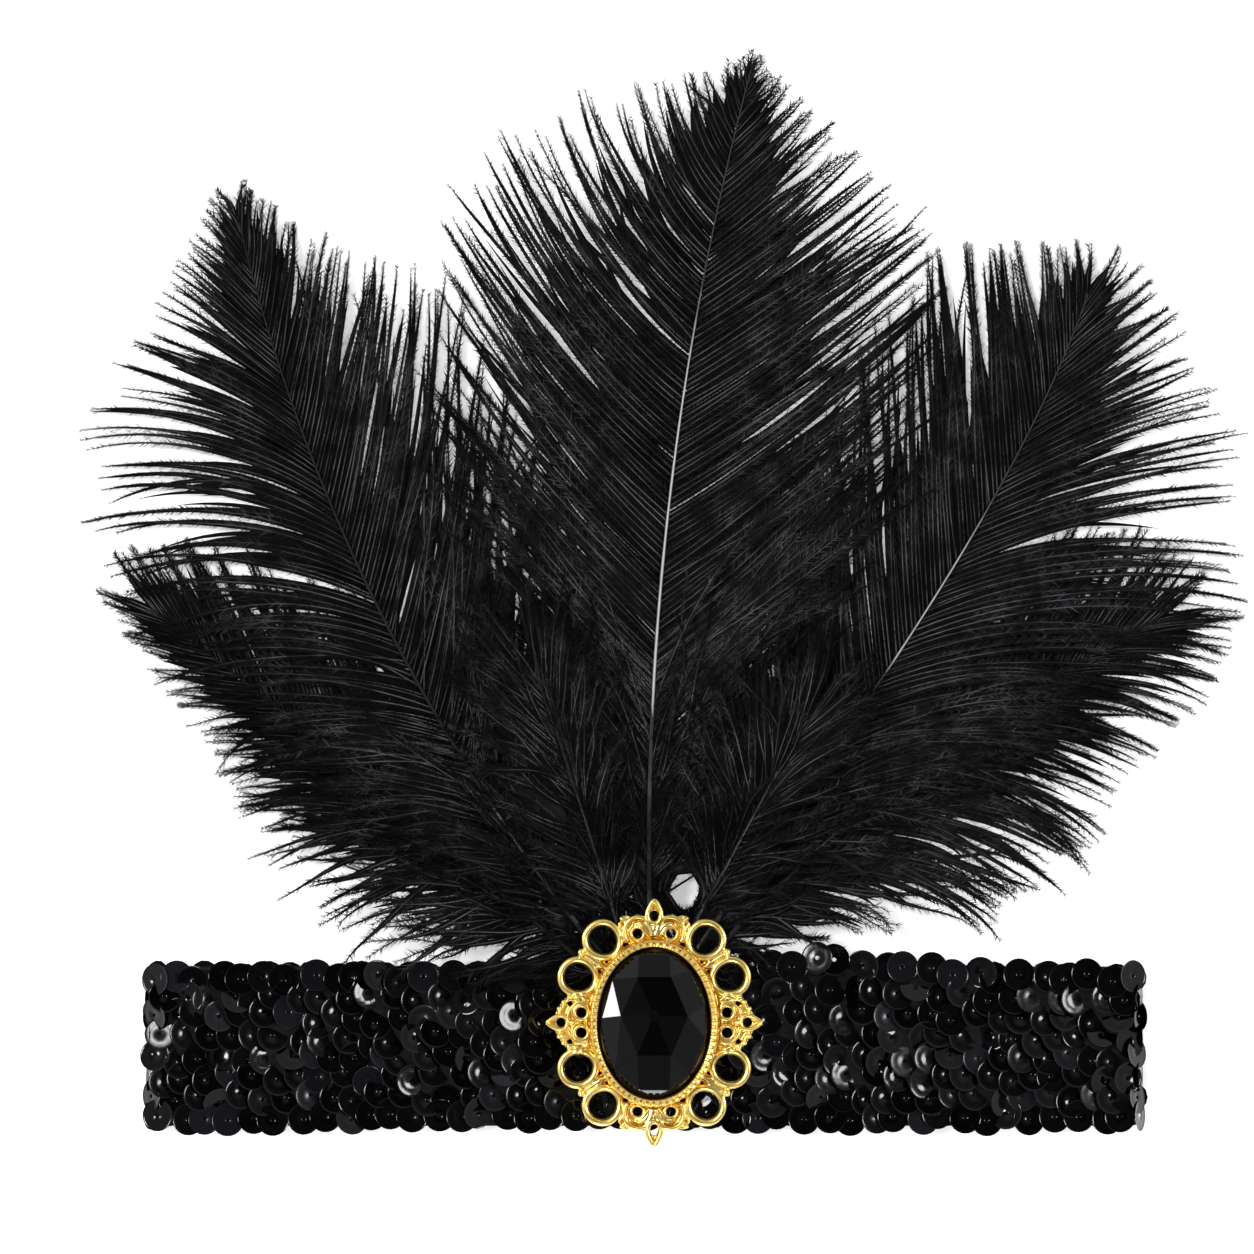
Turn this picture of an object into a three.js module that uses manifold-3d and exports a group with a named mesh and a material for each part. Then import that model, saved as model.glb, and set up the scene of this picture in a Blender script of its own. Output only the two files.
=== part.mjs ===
// Flapper feather headband, laid flat on its back with the plumes away from the wearer's face.
// Millimetres. +X runs along the band, +Y towards the plume tips, +Z up through the brooch.
// The origin is on the resting face, under the middle of the band.
import * as THREE from "three";
import { ConvexGeometry } from "three/addons/geometries/ConvexGeometry.js";
import { mergeVertices } from "three/addons/utils/BufferGeometryUtils.js";
import Module from "manifold-3d";

const wasm = await Module();
wasm.setup();

// Driving dimensions of the band
const bandLength = 250; // folded flat, fold to fold
const bandWidth = 42.5;
const bandWall = 2.6; // elastic with its sequins
const headGap = 5; // between the front and the back layer
const sequinDiameter = 8;
const sequinPitch = 6.5;
const edgeBevel = 1.1; // the sequins lean back along both long edges

// Driving dimensions of the stone and its brooch
const stoneWidth = 27.4;
const stoneHeight = 37;
const stoneGirdle = 1.2;
const stoneCrown = 4.4; // girdle to table
const crownShift = 2.2; // the crown's middle sits this far towards the plumes
const seatGap = 0.3; // stone to bezel
const bezelWall = 2.3;
const bezelRise = 3.4; // over the front of the tray
const trayThickness = 1.4;
const broochWidth = 54.4;
const broochHeight = 61.2;
const castThickness = 2.3;
const loopWire = 1.8;
const rimWidth = 0.8; // raised collars round the small holes
const broochAcross = 2.25; // from the middle of the band
const broochUp = 6.75;

// Driving dimensions of the plumes
const plumeLength = 228; // middle plume, along its rachis
const quillDiameter = 1.8;
const rachisTip = 0.7;
const lockThickness = 1.3;
const lockFill = 0.93; // share of the room between neighbours that a lock takes
const lockBack = 0.4; // share of its thickness that lies under the rachis line
const lastLock = 0.985; // share of the length where the last pair of locks leaves the rachis
const leastSpread = 18; // degrees, for the width of the locks that close up at the tip
const hiddenQuill = 5; // length glued inside the pad, behind the seat line
const seatInset = 1.25; // seat line to the band's upper edge
const padLip = 4.5; // the pad reaches this far past the seat line
const floorGap = 0.7;
const drapeLength = 44; // the plumes come down from the band over this length
const partingStart = 1.02; // shares of the brooch's outline: here the plumes begin to part
const partingSpan = 0.35;
const padSkin = 0.7; // felt over and under the quills
const padMargin = 2.4; // felt outside the outermost quill
const fitGap = 0.3;

// Sizes that follow
const foldRadius = (headGap + bandWall) / 2;
const bandTop = headGap + 2 * bandWall;
const quillSpacing = quillDiameter + 4 * fitGap;
const layerStep = quillDiameter + 2 * fitGap;
const padThickness = quillDiameter + 2 * (fitGap + padSkin);
const padFloor = bandTop + fitGap;
const quillHeight = padFloor + padThickness / 2;
const seatLine = bandWidth / 2 - seatInset;
const padTop = seatLine + padLip;
const trayFloor = padFloor + padThickness + fitGap;
const bezelX = stoneWidth / 2 + seatGap + bezelWall;
const bezelY = stoneHeight / 2 + seatGap + bezelWall;
const crestX = broochWidth / 2 - bezelX; // depth of the openwork beside the bezel
const crestY = broochHeight / 2 - bezelY;

const looks = {
  sequins: { color: 0x0b0b0d, roughness: 0.18, metalness: 0.0 },
  felt: { color: 0x141414, roughness: 0.95, metalness: 0.0 },
  gold: { color: 0xe6b84a, roughness: 0.25, metalness: 1.0 },
  stone: { color: 0x050506, roughness: 0.05, metalness: 0.0 },
  feather: { color: 0x121214, roughness: 0.7, metalness: 0.0 },
};

// Table columns: seat = quill spacings from the brooch's middle, drop = quill spacings below the
// seat line, length = share of plumeLength, lean = degrees from +Y at root and tip, turn = how late
// the lean changes, layer = 0 lowest, locks = per side. In rows: at = share of the length,
// left and right = reach (share of the length), lean off the rachis, curl outward.
const plumes = [
  {
    name: "plume_lower_left", seat: -4.9, drop: 0.25, length: 0.63, lean: [-50, -52], turn: 1,
    layer: 0, locks: 10,
    rows: [
      { at: 0.13, left: [0.26, 46, 6], right: [0.16, 30, 0] },
      { at: 0.25, left: [0.28, 42, 6], right: [0.30, 32, 0] },
      { at: 0.45, left: [0.27, 38, 8], right: [0.40, 34, -8] },
      { at: 0.65, left: [0.20, 36, 8], right: [0.36, 34, -8] },
      { at: 0.85, left: [0.16, 28, 0], right: [0.24, 30, -6] },
      { at: 1.00, left: [0.12, 14, 0], right: [0.12, 14, 0] },
    ],
  },
  {
    name: "plume_lower_right", seat: 3.6, drop: 0.2, length: 0.64, lean: [42, 64], turn: 1,
    layer: 0, locks: 10,
    rows: [
      { at: 0.15, left: [0.14, 30, 0], right: [0.18, 50, 10] },
      { at: 0.25, left: [0.30, 32, 0], right: [0.32, 44, 30] },
      { at: 0.45, left: [0.42, 34, -8], right: [0.36, 32, 40] },
      { at: 0.65, left: [0.38, 34, -6], right: [0.32, 26, 36] },
      { at: 0.85, left: [0.26, 28, 0], right: [0.26, 18, 28] },
      { at: 1.00, left: [0.12, 12, 0], right: [0.15, 8, 14] },
    ],
  },
  {
    name: "plume_left", seat: -3.4, drop: 0, length: 0.93, lean: [-40, -13], turn: 1,
    layer: 1, locks: 11,
    rows: [
      { at: 0.12, left: [0.12, 40, 0], right: [0.16, 40, -6] },
      { at: 0.30, left: [0.26, 42, 30], right: [0.42, 46, -12] },
      { at: 0.50, left: [0.32, 40, 42], right: [0.42, 43, -10] },
      { at: 0.64, left: [0.32, 32, 46], right: [0.29, 36, -4] },
      { at: 0.74, left: [0.22, 32, 20], right: [0.22, 33, -6] },
      { at: 0.82, left: [0.16, 32, 6], right: [0.17, 30, -8] },
      { at: 0.92, left: [0.10, 26, 4], right: [0.105, 22, -4] },
      { at: 1.00, left: [0.05, 12, 0], right: [0.05, 14, 0] },
    ],
  },
  {
    name: "plume_right", seat: 2.45, drop: 0, length: 0.865, lean: [35, 19], turn: 3,
    layer: 1, locks: 11,
    rows: [
      { at: 0.12, left: [0.12, 30, 0], right: [0.12, 34, 0] },
      { at: 0.20, left: [0.30, 46, -4], right: [0.24, 36, 20] },
      { at: 0.30, left: [0.38, 46, -6], right: [0.33, 36, 34] },
      { at: 0.50, left: [0.43, 38, -6], right: [0.42, 34, 40] },
      { at: 0.66, left: [0.37, 34, 2], right: [0.36, 34, 20] },
      { at: 0.82, left: [0.23, 32, 2], right: [0.23, 32, 2] },
      { at: 0.92, left: [0.14, 24, 0], right: [0.15, 26, 0] },
      { at: 1.00, left: [0.07, 14, 0], right: [0.07, 14, 0] },
    ],
  },
  {
    name: "plume_center", seat: -0.25, drop: 0, length: 1, lean: [-2, 15], turn: 1,
    layer: 2, locks: 12,
    rows: [
      { at: 0.14, left: [0.14, 44, 0], right: [0.16, 40, -4] },
      { at: 0.22, left: [0.26, 46, -4], right: [0.27, 44, -6] },
      { at: 0.34, left: [0.36, 48, -6], right: [0.37, 48, -8] },
      { at: 0.50, left: [0.40, 54, -12], right: [0.38, 54, -14] },
      { at: 0.64, left: [0.35, 60, -28], right: [0.33, 50, -10] },
      { at: 0.78, left: [0.22, 58, -36], right: [0.21, 43, -8] },
      { at: 0.90, left: [0.10, 48, -34], right: [0.10, 36, -8] },
      { at: 0.96, left: [0.045, 32, -20], right: [0.045, 30, -8] },
      { at: 1.00, left: [0.02, 10, 0], right: [0.02, 10, 0] },
    ],
  },
  {
    name: "tuft_left", seat: -1.95, drop: 0, length: 0.34, lean: [-16, -20], turn: 1,
    layer: 3, locks: 5,
    rows: [
      { at: 0.29, left: [0.38, 46, 0], right: [0.30, 30, 0] },
      { at: 0.60, left: [0.52, 40, 0], right: [0.50, 30, 0] },
      { at: 1.00, left: [0.38, 14, 0], right: [0.38, 12, 0] },
    ],
  },
  {
    name: "tuft_right", seat: 1.35, drop: 0, length: 0.31, lean: [28, 30], turn: 1,
    layer: 3, locks: 4,
    rows: [
      { at: 0.32, left: [0.24, 26, 0], right: [0.32, 46, 0] },
      { at: 0.60, left: [0.56, 36, 0], right: [0.46, 36, 6] },
      { at: 1.00, left: [0.38, 16, 0], right: [0.36, 18, 0] },
    ],
  },
];

// The front layer's long edges: at = share of half the band's length, top and bottom = shares of
// half its width. Sequins ride up beside the brooch on the wearer's left.
const frontEdges = [
  { at: -1.0, top: 1.0, bottom: 1.0 },
  { at: -0.6, top: 1.01, bottom: 0.98 },
  { at: -0.2, top: 1.0, bottom: 0.98 },
  { at: 0.1, top: 1.06, bottom: 0.97 },
  { at: 0.36, top: 1.22, bottom: 0.97 },
  { at: 0.5, top: 1.12, bottom: 0.98 },
  { at: 0.7, top: 1.02, bottom: 0.99 },
  { at: 1.0, top: 1.0, bottom: 1.0 },
];

// The stone's crown: across = share of the girdle, rise = share of the crown's height, turn in
// steps of a sixth, pull = share of crownShift.
const crownRings = [
  { across: 0.95, rise: 0.22, corners: [0.22, 0.78], pull: 0.15 },
  { across: 0.6, rise: 0.8, corners: [0], pull: 0.9 },
  { across: 0.09, rise: 1.0, corners: [0], pull: 1.0 },
];

// Share of the way between two numbers
function mix(a, b, share) {
  return a + (b - a) * share;
}

function smooth(share) {
  const s = Math.min(1, Math.max(0, share));
  return s * s * (3 - 2 * s);
}

// Reads a table at any place between its rows
function readRows(rows, at, read) {
  if (at <= rows[0].at) return read(rows[0]);
  for (let i = 1; i < rows.length; i++) {
    if (at > rows[i].at) continue;
    const share = (at - rows[i - 1].at) / (rows[i].at - rows[i - 1].at);
    const low = read(rows[i - 1]);
    const high = read(rows[i]);
    return Array.isArray(low) ? low.map((v, k) => mix(v, high[k], share)) : mix(low, high, share);
  }
  return read(rows[rows.length - 1]);
}

// A closed surface through rings of points: a closed loop of rings, or an open run with flat ends.
// Rings run counter-clockwise seen from the end they start at, looking along the run.
function loft(rings, isLoop = false) {
  const size = rings[0].length;
  const positions = rings.flat().flatMap((p) => [p.x, p.y, p.z]);
  const triangles = [];
  const spans = isLoop ? rings.length : rings.length - 1;
  for (let i = 0; i < spans; i++) {
    const here = i * size;
    const next = ((i + 1) % rings.length) * size;
    for (let k = 0; k < size; k++) {
      const j = (k + 1) % size;
      triangles.push(here + k, next + k, here + j);
      triangles.push(here + j, next + k, next + j);
    }
  }
  if (!isLoop) {
    const last = (rings.length - 1) * size;
    for (let k = 1; k < size - 1; k++) {
      triangles.push(0, k, k + 1);
      triangles.push(last, last + k + 1, last + k);
    }
  }
  const geometry = new THREE.BufferGeometry();
  geometry.setAttribute("position", new THREE.Float32BufferAttribute(positions, 3));
  geometry.setIndex(triangles);
  return geometry;
}

function toSolid(geometry) {
  const bare = geometry.clone();
  bare.deleteAttribute("normal");
  bare.deleteAttribute("uv");
  const merged = mergeVertices(bare, 1e-4);
  const vertProperties = new Float32Array(merged.attributes.position.array);
  const triVerts = new Uint32Array(merged.index.array);
  const solid = new wasm.Manifold(new wasm.Mesh({ numProp: 3, vertProperties, triVerts }));
  return solid.volume() < 0 ? toSolid(turnedOut(merged)) : solid;
}

function turnedOut(geometry) {
  const flipped = geometry.clone();
  const index = flipped.index.array;
  for (let i = 0; i < index.length; i += 3) {
    [index[i + 1], index[i + 2]] = [index[i + 2], index[i + 1]];
  }
  return flipped;
}

function fuse(geometries) {
  return geometries.map(toSolid).reduce((whole, piece) => whole.add(piece));
}

function toMesh(name, solid, look) {
  const { vertProperties, triVerts } = solid.getMesh();
  const geometry = new THREE.BufferGeometry();
  geometry.setAttribute("position", new THREE.BufferAttribute(new Float32Array(vertProperties), 3));
  geometry.setIndex(new THREE.BufferAttribute(new Uint32Array(triVerts), 1));
  geometry.computeVertexNormals();
  const mesh = new THREE.Mesh(geometry, new THREE.MeshStandardMaterial(look));
  mesh.name = name;
  return mesh;
}

// The band: one sequinned strip sewn into a loop and folded flat
function makeBand() {
  const straight = bandLength - bandTop;
  const fold = Math.PI * foldRadius;
  const around = 2 * (straight + fold);
  const sequinsAround = Math.round(around / sequinPitch);
  const steps = 2 * sequinsAround;
  const middle = bandTop / 2;
  const rings = [];
  for (let i = 0; i < steps; i++) {
    const walk = (i / steps) * around;
    const isBack = walk <= straight;
    const isFront = walk >= straight + fold && walk <= 2 * straight + fold;
    let x;
    let turn = 0; // 0 faces down, PI faces up
    if (isBack) {
      x = walk - straight / 2;
    } else if (isFront) {
      x = straight / 2 - (walk - straight - fold);
      turn = Math.PI;
    } else if (walk < straight + fold) {
      turn = (walk - straight) / foldRadius;
      x = straight / 2;
    } else {
      turn = Math.PI + (walk - 2 * straight - fold) / foldRadius;
      x = -straight / 2;
    }
    const outX = Math.sin(turn);
    const outZ = -Math.cos(turn);
    const at = (2 * (x + outX * foldRadius)) / bandLength;
    const top = isFront ? readRows(frontEdges, at, (row) => row.top) : 1;
    const bottom = isFront ? readRows(frontEdges, at, (row) => row.bottom) : 1;
    const reach = edgeReach(i);
    const point = (y, offset) =>
      new THREE.Vector3(x + outX * (foldRadius + offset), y, middle + outZ * (foldRadius + offset));
    const yTop = (bandWidth / 2) * top - reach;
    const yBottom = reach - (bandWidth / 2) * bottom;
    const half = bandWall / 2;
    rings.push([
      point(yBottom, -half), point(yBottom + edgeBevel, half),
      point(yTop - edgeBevel, half), point(yTop, -half),
    ]);
  }
  return toMesh("band", toSolid(loft(rings, true)), looks.sequins);
}

// The edge runs round each sequin: full reach at its middle, drawn in between two of them
function edgeReach(step) {
  const radius = sequinDiameter / 2;
  const away = step % 2 === 0 ? 0 : Math.min(sequinPitch / 2, radius * 0.95);
  return radius - Math.sqrt(radius * radius - away * away);
}

// A plume's centre line: points every hundredth of its length, from its seat to its tip
function spineOf(plume) {
  const length = plume.length * plumeLength;
  const steps = 100;
  const points = [];
  let x = broochAcross + plume.seat * quillSpacing;
  let y = seatLine - plume.drop * quillSpacing;
  for (let i = 0; i <= steps; i++) {
    const angle = leanAt(plume, i / steps);
    points.push({ x, y, angle });
    x += (Math.sin(angle) * length) / steps;
    y += (Math.cos(angle) * length) / steps;
  }
  return points;
}

function leanAt(plume, share) {
  return THREE.MathUtils.degToRad(mix(plume.lean[0], plume.lean[1], share ** plume.turn));
}

function onSpine(points, share) {
  const place = Math.min(0.9999, Math.max(0, share)) * (points.length - 1);
  const i = Math.floor(place);
  const here = points[i];
  const next = points[i + 1];
  return {
    x: mix(here.x, next.x, place - i),
    y: mix(here.y, next.y, place - i),
    angle: mix(here.angle, next.angle, place - i),
  };
}

// Height of the feathers at a place. The quills leave the pad side by side, and outside the brooch
// the plumes part into layers, which come down from the band to just above the table.
function featherHeight(x, y, layer) {
  const low = floorGap + quillDiameter / 2;
  const away = Math.hypot((x - broochAcross) / (broochWidth / 2), (y - broochUp) / (broochHeight / 2));
  const parted = smooth((away - partingStart) / partingSpan);
  return mix(quillHeight, low, smooth((y - padTop) / drapeLength)) + layer * layerStep * parted;
}

function makeRachis(plume, points) {
  const length = plume.length * plumeLength;
  const sides = 4;
  const steps = 8;
  const stations = [-hiddenQuill / length];
  for (let i = 0; i < steps; i++) stations.push(mix(padLip / length, 1, (i / (steps - 1)) ** 1.3));
  const rings = stations.map((share) => {
    const spot = onSpine(points, share);
    const back = Math.min(0, share) * length;
    const x = spot.x + Math.sin(spot.angle) * back;
    const y = spot.y + Math.cos(spot.angle) * back;
    const z = featherHeight(x, y, plume.layer);
    const radius = mix(quillDiameter, rachisTip, Math.max(0, share)) / 2;
    return Array.from({ length: sides }, (_, k) => {
      const around = (k / sides) * 2 * Math.PI;
      const side = Math.cos(around) * radius;
      return new THREE.Vector3(
        x + Math.cos(spot.angle) * side,
        y - Math.sin(spot.angle) * side,
        z + Math.sin(around) * radius,
      );
    });
  });
  return loft(rings);
}

// One lock of barbs: a thin leaf with a flat back and a ridge that leaves the rachis and curls out
function makeLock(plume, points, share, side, width) {
  const length = plume.length * plumeLength;
  const key = side < 0 ? "left" : "right";
  const [reach, lean, curl] = readRows(plume.rows, share, (row) => row[key]);
  const spot = onSpine(points, share);
  const leaf = [
    { along: 0, wide: 0.85, thick: 0.9 }, { along: 0.3, wide: 1, thick: 1 },
    { along: 0.75, wide: 1, thick: 0.9 }, { along: 1, wide: 0.08, thick: 0.3 },
  ];
  const rings = [];
  let { x, y } = spot;
  let walked = 0;
  for (const part of leaf) {
    const steps = 4;
    for (let i = 0; i < steps; i++) {
      const t = mix(walked, part.along, (i + 0.5) / steps);
      const angle = spot.angle + side * THREE.MathUtils.degToRad(lean + curl * t);
      x += (Math.sin(angle) * reach * length * (part.along - walked)) / steps;
      y += (Math.cos(angle) * reach * length * (part.along - walked)) / steps;
    }
    walked = part.along;
    const angle = spot.angle + side * THREE.MathUtils.degToRad(lean + curl * walked);
    const corner = (across, rise) => {
      const cx = x + (Math.cos(angle) * width * part.wide * across) / 2;
      const cy = y - (Math.sin(angle) * width * part.wide * across) / 2;
      return new THREE.Vector3(cx, cy, featherHeight(cx, cy, plume.layer) + rise * lockThickness);
    };
    rings.push([corner(1, -lockBack), corner(0, part.thick - lockBack), corner(-1, -lockBack)]);
  }
  return loft(rings);
}

function makePlume(plume) {
  const points = spineOf(plume);
  const length = plume.length * plumeLength;
  const first = plume.rows[0].at;
  const pitch = ((1 - first) * length) / plume.locks;
  const pieces = [makeRachis(plume, points)];
  for (let i = 0; i < plume.locks; i++) {
    const share = mix(first, lastLock, i / (plume.locks - 1));
    for (const side of [-1, 1]) {
      const key = side < 0 ? "left" : "right";
      const lean = readRows(plume.rows, share, (row) => row[key])[1];
      const spread = Math.sin(THREE.MathUtils.degToRad(Math.max(leastSpread, lean)));
      pieces.push(makeLock(plume, points, share, side, pitch * spread * lockFill));
    }
  }
  return toMesh(plume.name, fuse(pieces), looks.feather);
}

// The felt pad that the quills are glued into, hidden behind the brooch
function makePad() {
  const seats = plumes.map((plume) => plume.seat * quillSpacing);
  const left = Math.min(...seats) - padMargin;
  const right = Math.max(...seats) + padMargin;
  const outline = new THREE.Shape();
  const halfX = (right - left) / 2;
  const halfY = (padTop - broochUp + bezelY / 2) / 2;
  outline.absellipse(broochAcross + (left + right) / 2, padTop - halfY, halfX, halfY, 0, 2 * Math.PI);
  const slab = new THREE.ExtrudeGeometry(outline, {
    depth: padThickness, bevelEnabled: false, curveSegments: 14,
  });
  slab.translate(0, 0, padFloor);
  return plumes.reduce((pad, plume) => pad.subtract(toSolid(makeSocket(plume))), toSolid(slab));
}

// The hole that a quill sits in, open at the pad's edge
function makeSocket(plume) {
  const points = spineOf(plume);
  const { x, y, angle } = points[0];
  const length = hiddenQuill + 4 * quillDiameter;
  const sides = 6;
  const socket = new THREE.CylinderGeometry(1, 1, length + fitGap, sides);
  const radius = (quillDiameter / 2 + fitGap) / Math.cos(Math.PI / sides);
  socket.scale(radius, 1, radius);
  socket.translate(0, length / 2 - hiddenQuill - fitGap / 2, 0);
  socket.rotateZ(-angle);
  socket.translate(x, y, quillHeight);
  return socket;
}

// Points of an ellipse round the brooch's middle
function onEllipse(halfX, halfY, degrees, out = 0) {
  const a = THREE.MathUtils.degToRad(degrees);
  const normal = new THREE.Vector2(Math.cos(a) / halfX, Math.sin(a) / halfY).normalize();
  return new THREE.Vector2(Math.cos(a) * halfX, Math.sin(a) * halfY).addScaledVector(normal, out);
}

function slab(shape, floor, thickness, curveSegments = 20) {
  const geometry = new THREE.ExtrudeGeometry(shape, { depth: thickness, bevelEnabled: false, curveSegments });
  return geometry.translate(0, 0, floor);
}

// The closed tray behind the stone and the wall that holds it, turned in one piece like a dish.
// Table columns: share of the wall from inside to outside, share of the wall's rise.
const bezelProfile = [
  { out: 1, rise: 0.35 }, { out: 0.6, rise: 1 }, { out: 0, rise: 0.85 },
];

function makeBezel() {
  const steps = 36;
  const ring = (out, height) =>
    Array.from({ length: steps }, (_, i) => {
      const spot = onEllipse(bezelX - bezelWall, bezelY - bezelWall, (-360 * i) / steps, out * bezelWall);
      return new THREE.Vector3(spot.x, spot.y, height);
    });
  const wall = bezelProfile.map(({ out, rise }) => ring(out, trayThickness + rise * bezelRise));
  return loft([ring(1, 0), ...wall, ring(0, trayThickness)]);
}

// A ring of wire laid on the casting: an egg that narrows towards its inner end
function makeRing(spot, outward, halfAcross, halfAlong) {
  const steps = 12;
  const sides = 4;
  const ring = new THREE.TorusGeometry(1, 1, sides, steps);
  const place = ring.attributes.position;
  for (let j = 0; j <= sides; j++) {
    for (let i = 0; i <= steps; i++) {
      const around = (i / steps) * 2 * Math.PI;
      const tube = (j / sides) * 2 * Math.PI;
      const egg = 1 + loopNarrowing * Math.sin(around);
      const wire = (loopWire / 2) * Math.cos(tube);
      const across = (halfAcross + wire) * Math.cos(around) * egg;
      const along = (halfAlong + wire) * Math.sin(around);
      place.setXYZ(j * (steps + 1) + i, across, along, (loopWire / 2) * (1 + Math.sin(tube)));
    }
  }
  ring.rotateZ(outward - Math.PI / 2);
  return ring.translate(spot.x, spot.y, 0);
}

// A leaf of the openwork: a crest with a pointed tip, pierced by a drop and two scroll eyes.
// Table columns: shares of the crest's half width and of its depth.
const endCrest = 0.5; // half width, as a share of the bezel's
const sideCrest = 0.36;
const plateShare = 0.7; // of the casting's thickness
const crestOutline = [
  { across: 1.0, along: 0 }, { across: 1.02, along: 0.3 }, { across: 0.82, along: 0.52 },
  { across: 0.6, along: 0.5 }, { across: 0.42, along: 0.66 }, { across: 0.25, along: 0.62 },
  { across: 0.22, along: 0.8 }, { across: 0, along: 1 },
];
const crestEyes = [
  { across: 0, along: 0.6, radius: 0.1, stretch: 1.5 },
  { across: 0.52, along: 0.16, radius: 0.115, stretch: 1 },
  { across: -0.52, along: 0.16, radius: 0.115, stretch: 1 },
];

function makeCrest(degrees, halfWidth, depth) {
  const edge = onEllipse(bezelX, bezelY, degrees);
  const outward = Math.atan2(edge.y, edge.x);
  const mirrored = crestOutline.slice(0, -1).reverse().map(({ across, along }) => ({ across: -across, along }));
  const corners = [...crestOutline, ...mirrored];
  const root = -bezelWall / 2;
  const outline = new THREE.Shape(
    corners.map(({ across, along }) => new THREE.Vector2(across * halfWidth, along === 0 ? root : along * depth)),
  );
  const turn = outward - Math.PI / 2;
  const plate = slab(outline, 0, plateShare * castThickness);
  plate.rotateZ(turn);
  plate.translate(edge.x, edge.y, 0);
  const stud = (eye, radius, height) => {
    const post = new THREE.CylinderGeometry(radius, radius, height, 8);
    post.rotateX(Math.PI / 2);
    post.scale(1, (eye.radius * eye.stretch * depth + radius - eye.radius * depth) / radius, 1);
    post.translate(eye.across * halfWidth, eye.along * depth, 0);
    post.rotateZ(turn);
    return post.translate(edge.x, edge.y, 0);
  };
  const collars = crestEyes.map((eye) =>
    stud(eye, eye.radius * depth + rimWidth, castThickness).translate(0, 0, castThickness / 2));
  const holes = crestEyes.map((eye) => stud(eye, eye.radius * depth, 4 * castThickness));
  return { bodies: [plate, ...collars], holes };
}

// Loops: where they stand round the bezel, in degrees from the brooch's long side, with their
// size in shares of the openwork's depth
const loopPlaces = [27, 54, 126, 153, 207, 234, 306, 333];
const loopOut = 0.45;
const loopRadius = 0.41;
const loopStretch = 1.04;
const loopNarrowing = 0.08;

function makeLoops() {
  return loopPlaces.map((degrees) => {
    const depth = (crestX + crestY) / 2;
    const spot = onEllipse(bezelX, bezelY, degrees, loopOut * depth);
    const foot = onEllipse(bezelX, bezelY, degrees);
    const outward = Math.atan2(spot.y - foot.y, spot.x - foot.x);
    const radius = loopRadius * depth;
    return makeRing(spot, outward, radius, loopStretch * radius);
  });
}

// Small leaves in the gaps between neighbouring loops, in degrees from the brooch's long side
const leafPlaces = [40.5, 139.5, 220.5, 319.5];
const leafOut = 0.62; // shares of the openwork's depth
const leafSize = 0.17;
const stemWidth = 1.3; // share of the knob's radius

function makeLeaves() {
  const depth = (crestX + crestY) / 2;
  const radius = leafSize * depth;
  return leafPlaces.flatMap((degrees) => {
    const foot = onEllipse(bezelX, bezelY, degrees, -bezelWall / 2);
    const spot = onEllipse(bezelX, bezelY, degrees, leafOut * depth);
    const knob = new THREE.SphereGeometry(radius, 6, 4);
    knob.scale(1, 1, castThickness / 2 / radius);
    knob.translate(spot.x, spot.y, castThickness / 2);
    const length = foot.distanceTo(spot);
    const stem = new THREE.BoxGeometry(length, stemWidth * radius, plateShare * castThickness);
    stem.rotateZ(Math.atan2(spot.y - foot.y, spot.x - foot.x));
    stem.translate((foot.x + spot.x) / 2, (foot.y + spot.y) / 2, (plateShare * castThickness) / 2);
    return [knob, stem];
  });
}

function makeBrooch() {
  const crests = [
    makeCrest(90, endCrest * bezelX, crestY), makeCrest(270, endCrest * bezelX, crestY),
    makeCrest(0, sideCrest * bezelY, crestX), makeCrest(180, sideCrest * bezelY, crestX),
  ];
  const bodies = [makeBezel(), ...makeLoops(), ...makeLeaves(), ...crests.flatMap(({ bodies }) => bodies)];
  const holes = crests.flatMap((crest) => crest.holes).map(toSolid);
  return holes.reduce((cast, hole) => cast.subtract(hole), fuse(bodies));
}

// The stone: a flat back, a straight girdle and a six-sided rose crown with a small table
function makeStone() {
  const halfX = stoneWidth / 2;
  const halfY = stoneHeight / 2;
  const back = trayThickness + seatGap;
  const corners = [];
  const addRing = (across, height, places, shift) => {
    for (const turn of places) {
      const a = (turn / 6) * 2 * Math.PI;
      corners.push(new THREE.Vector3(Math.cos(a) * halfX * across, Math.sin(a) * halfY * across + shift, height));
    }
  };
  const girdle = Array.from({ length: 36 }, (_, i) => i / 6);
  addRing(1, back, girdle, 0);
  addRing(1, back + stoneGirdle, girdle, 0);
  for (const { across, rise, corners: places, pull } of crownRings) {
    const all = Array.from({ length: 6 }, (_, i) => places.map((place) => i + place)).flat();
    addRing(across, back + stoneGirdle + rise * stoneCrown, all, pull * crownShift);
  }
  return toSolid(new ConvexGeometry(corners));
}

const band = makeBand();
const pad = toMesh("backing_pad", makePad(), looks.felt);

const setting = new THREE.Group();
setting.position.set(broochAcross, broochUp, trayFloor);
setting.add(toMesh("brooch_frame", makeBrooch(), looks.gold));
setting.add(toMesh("stone", makeStone(), looks.stone));

const headband = new THREE.Group();
headband.add(band, pad, setting, ...plumes.map(makePlume));

export default headband;
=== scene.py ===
import math

import bmesh
import bpy
import numpy as np
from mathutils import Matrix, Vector
from mathutils.geometry import delaunay_2d_cdt


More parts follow.
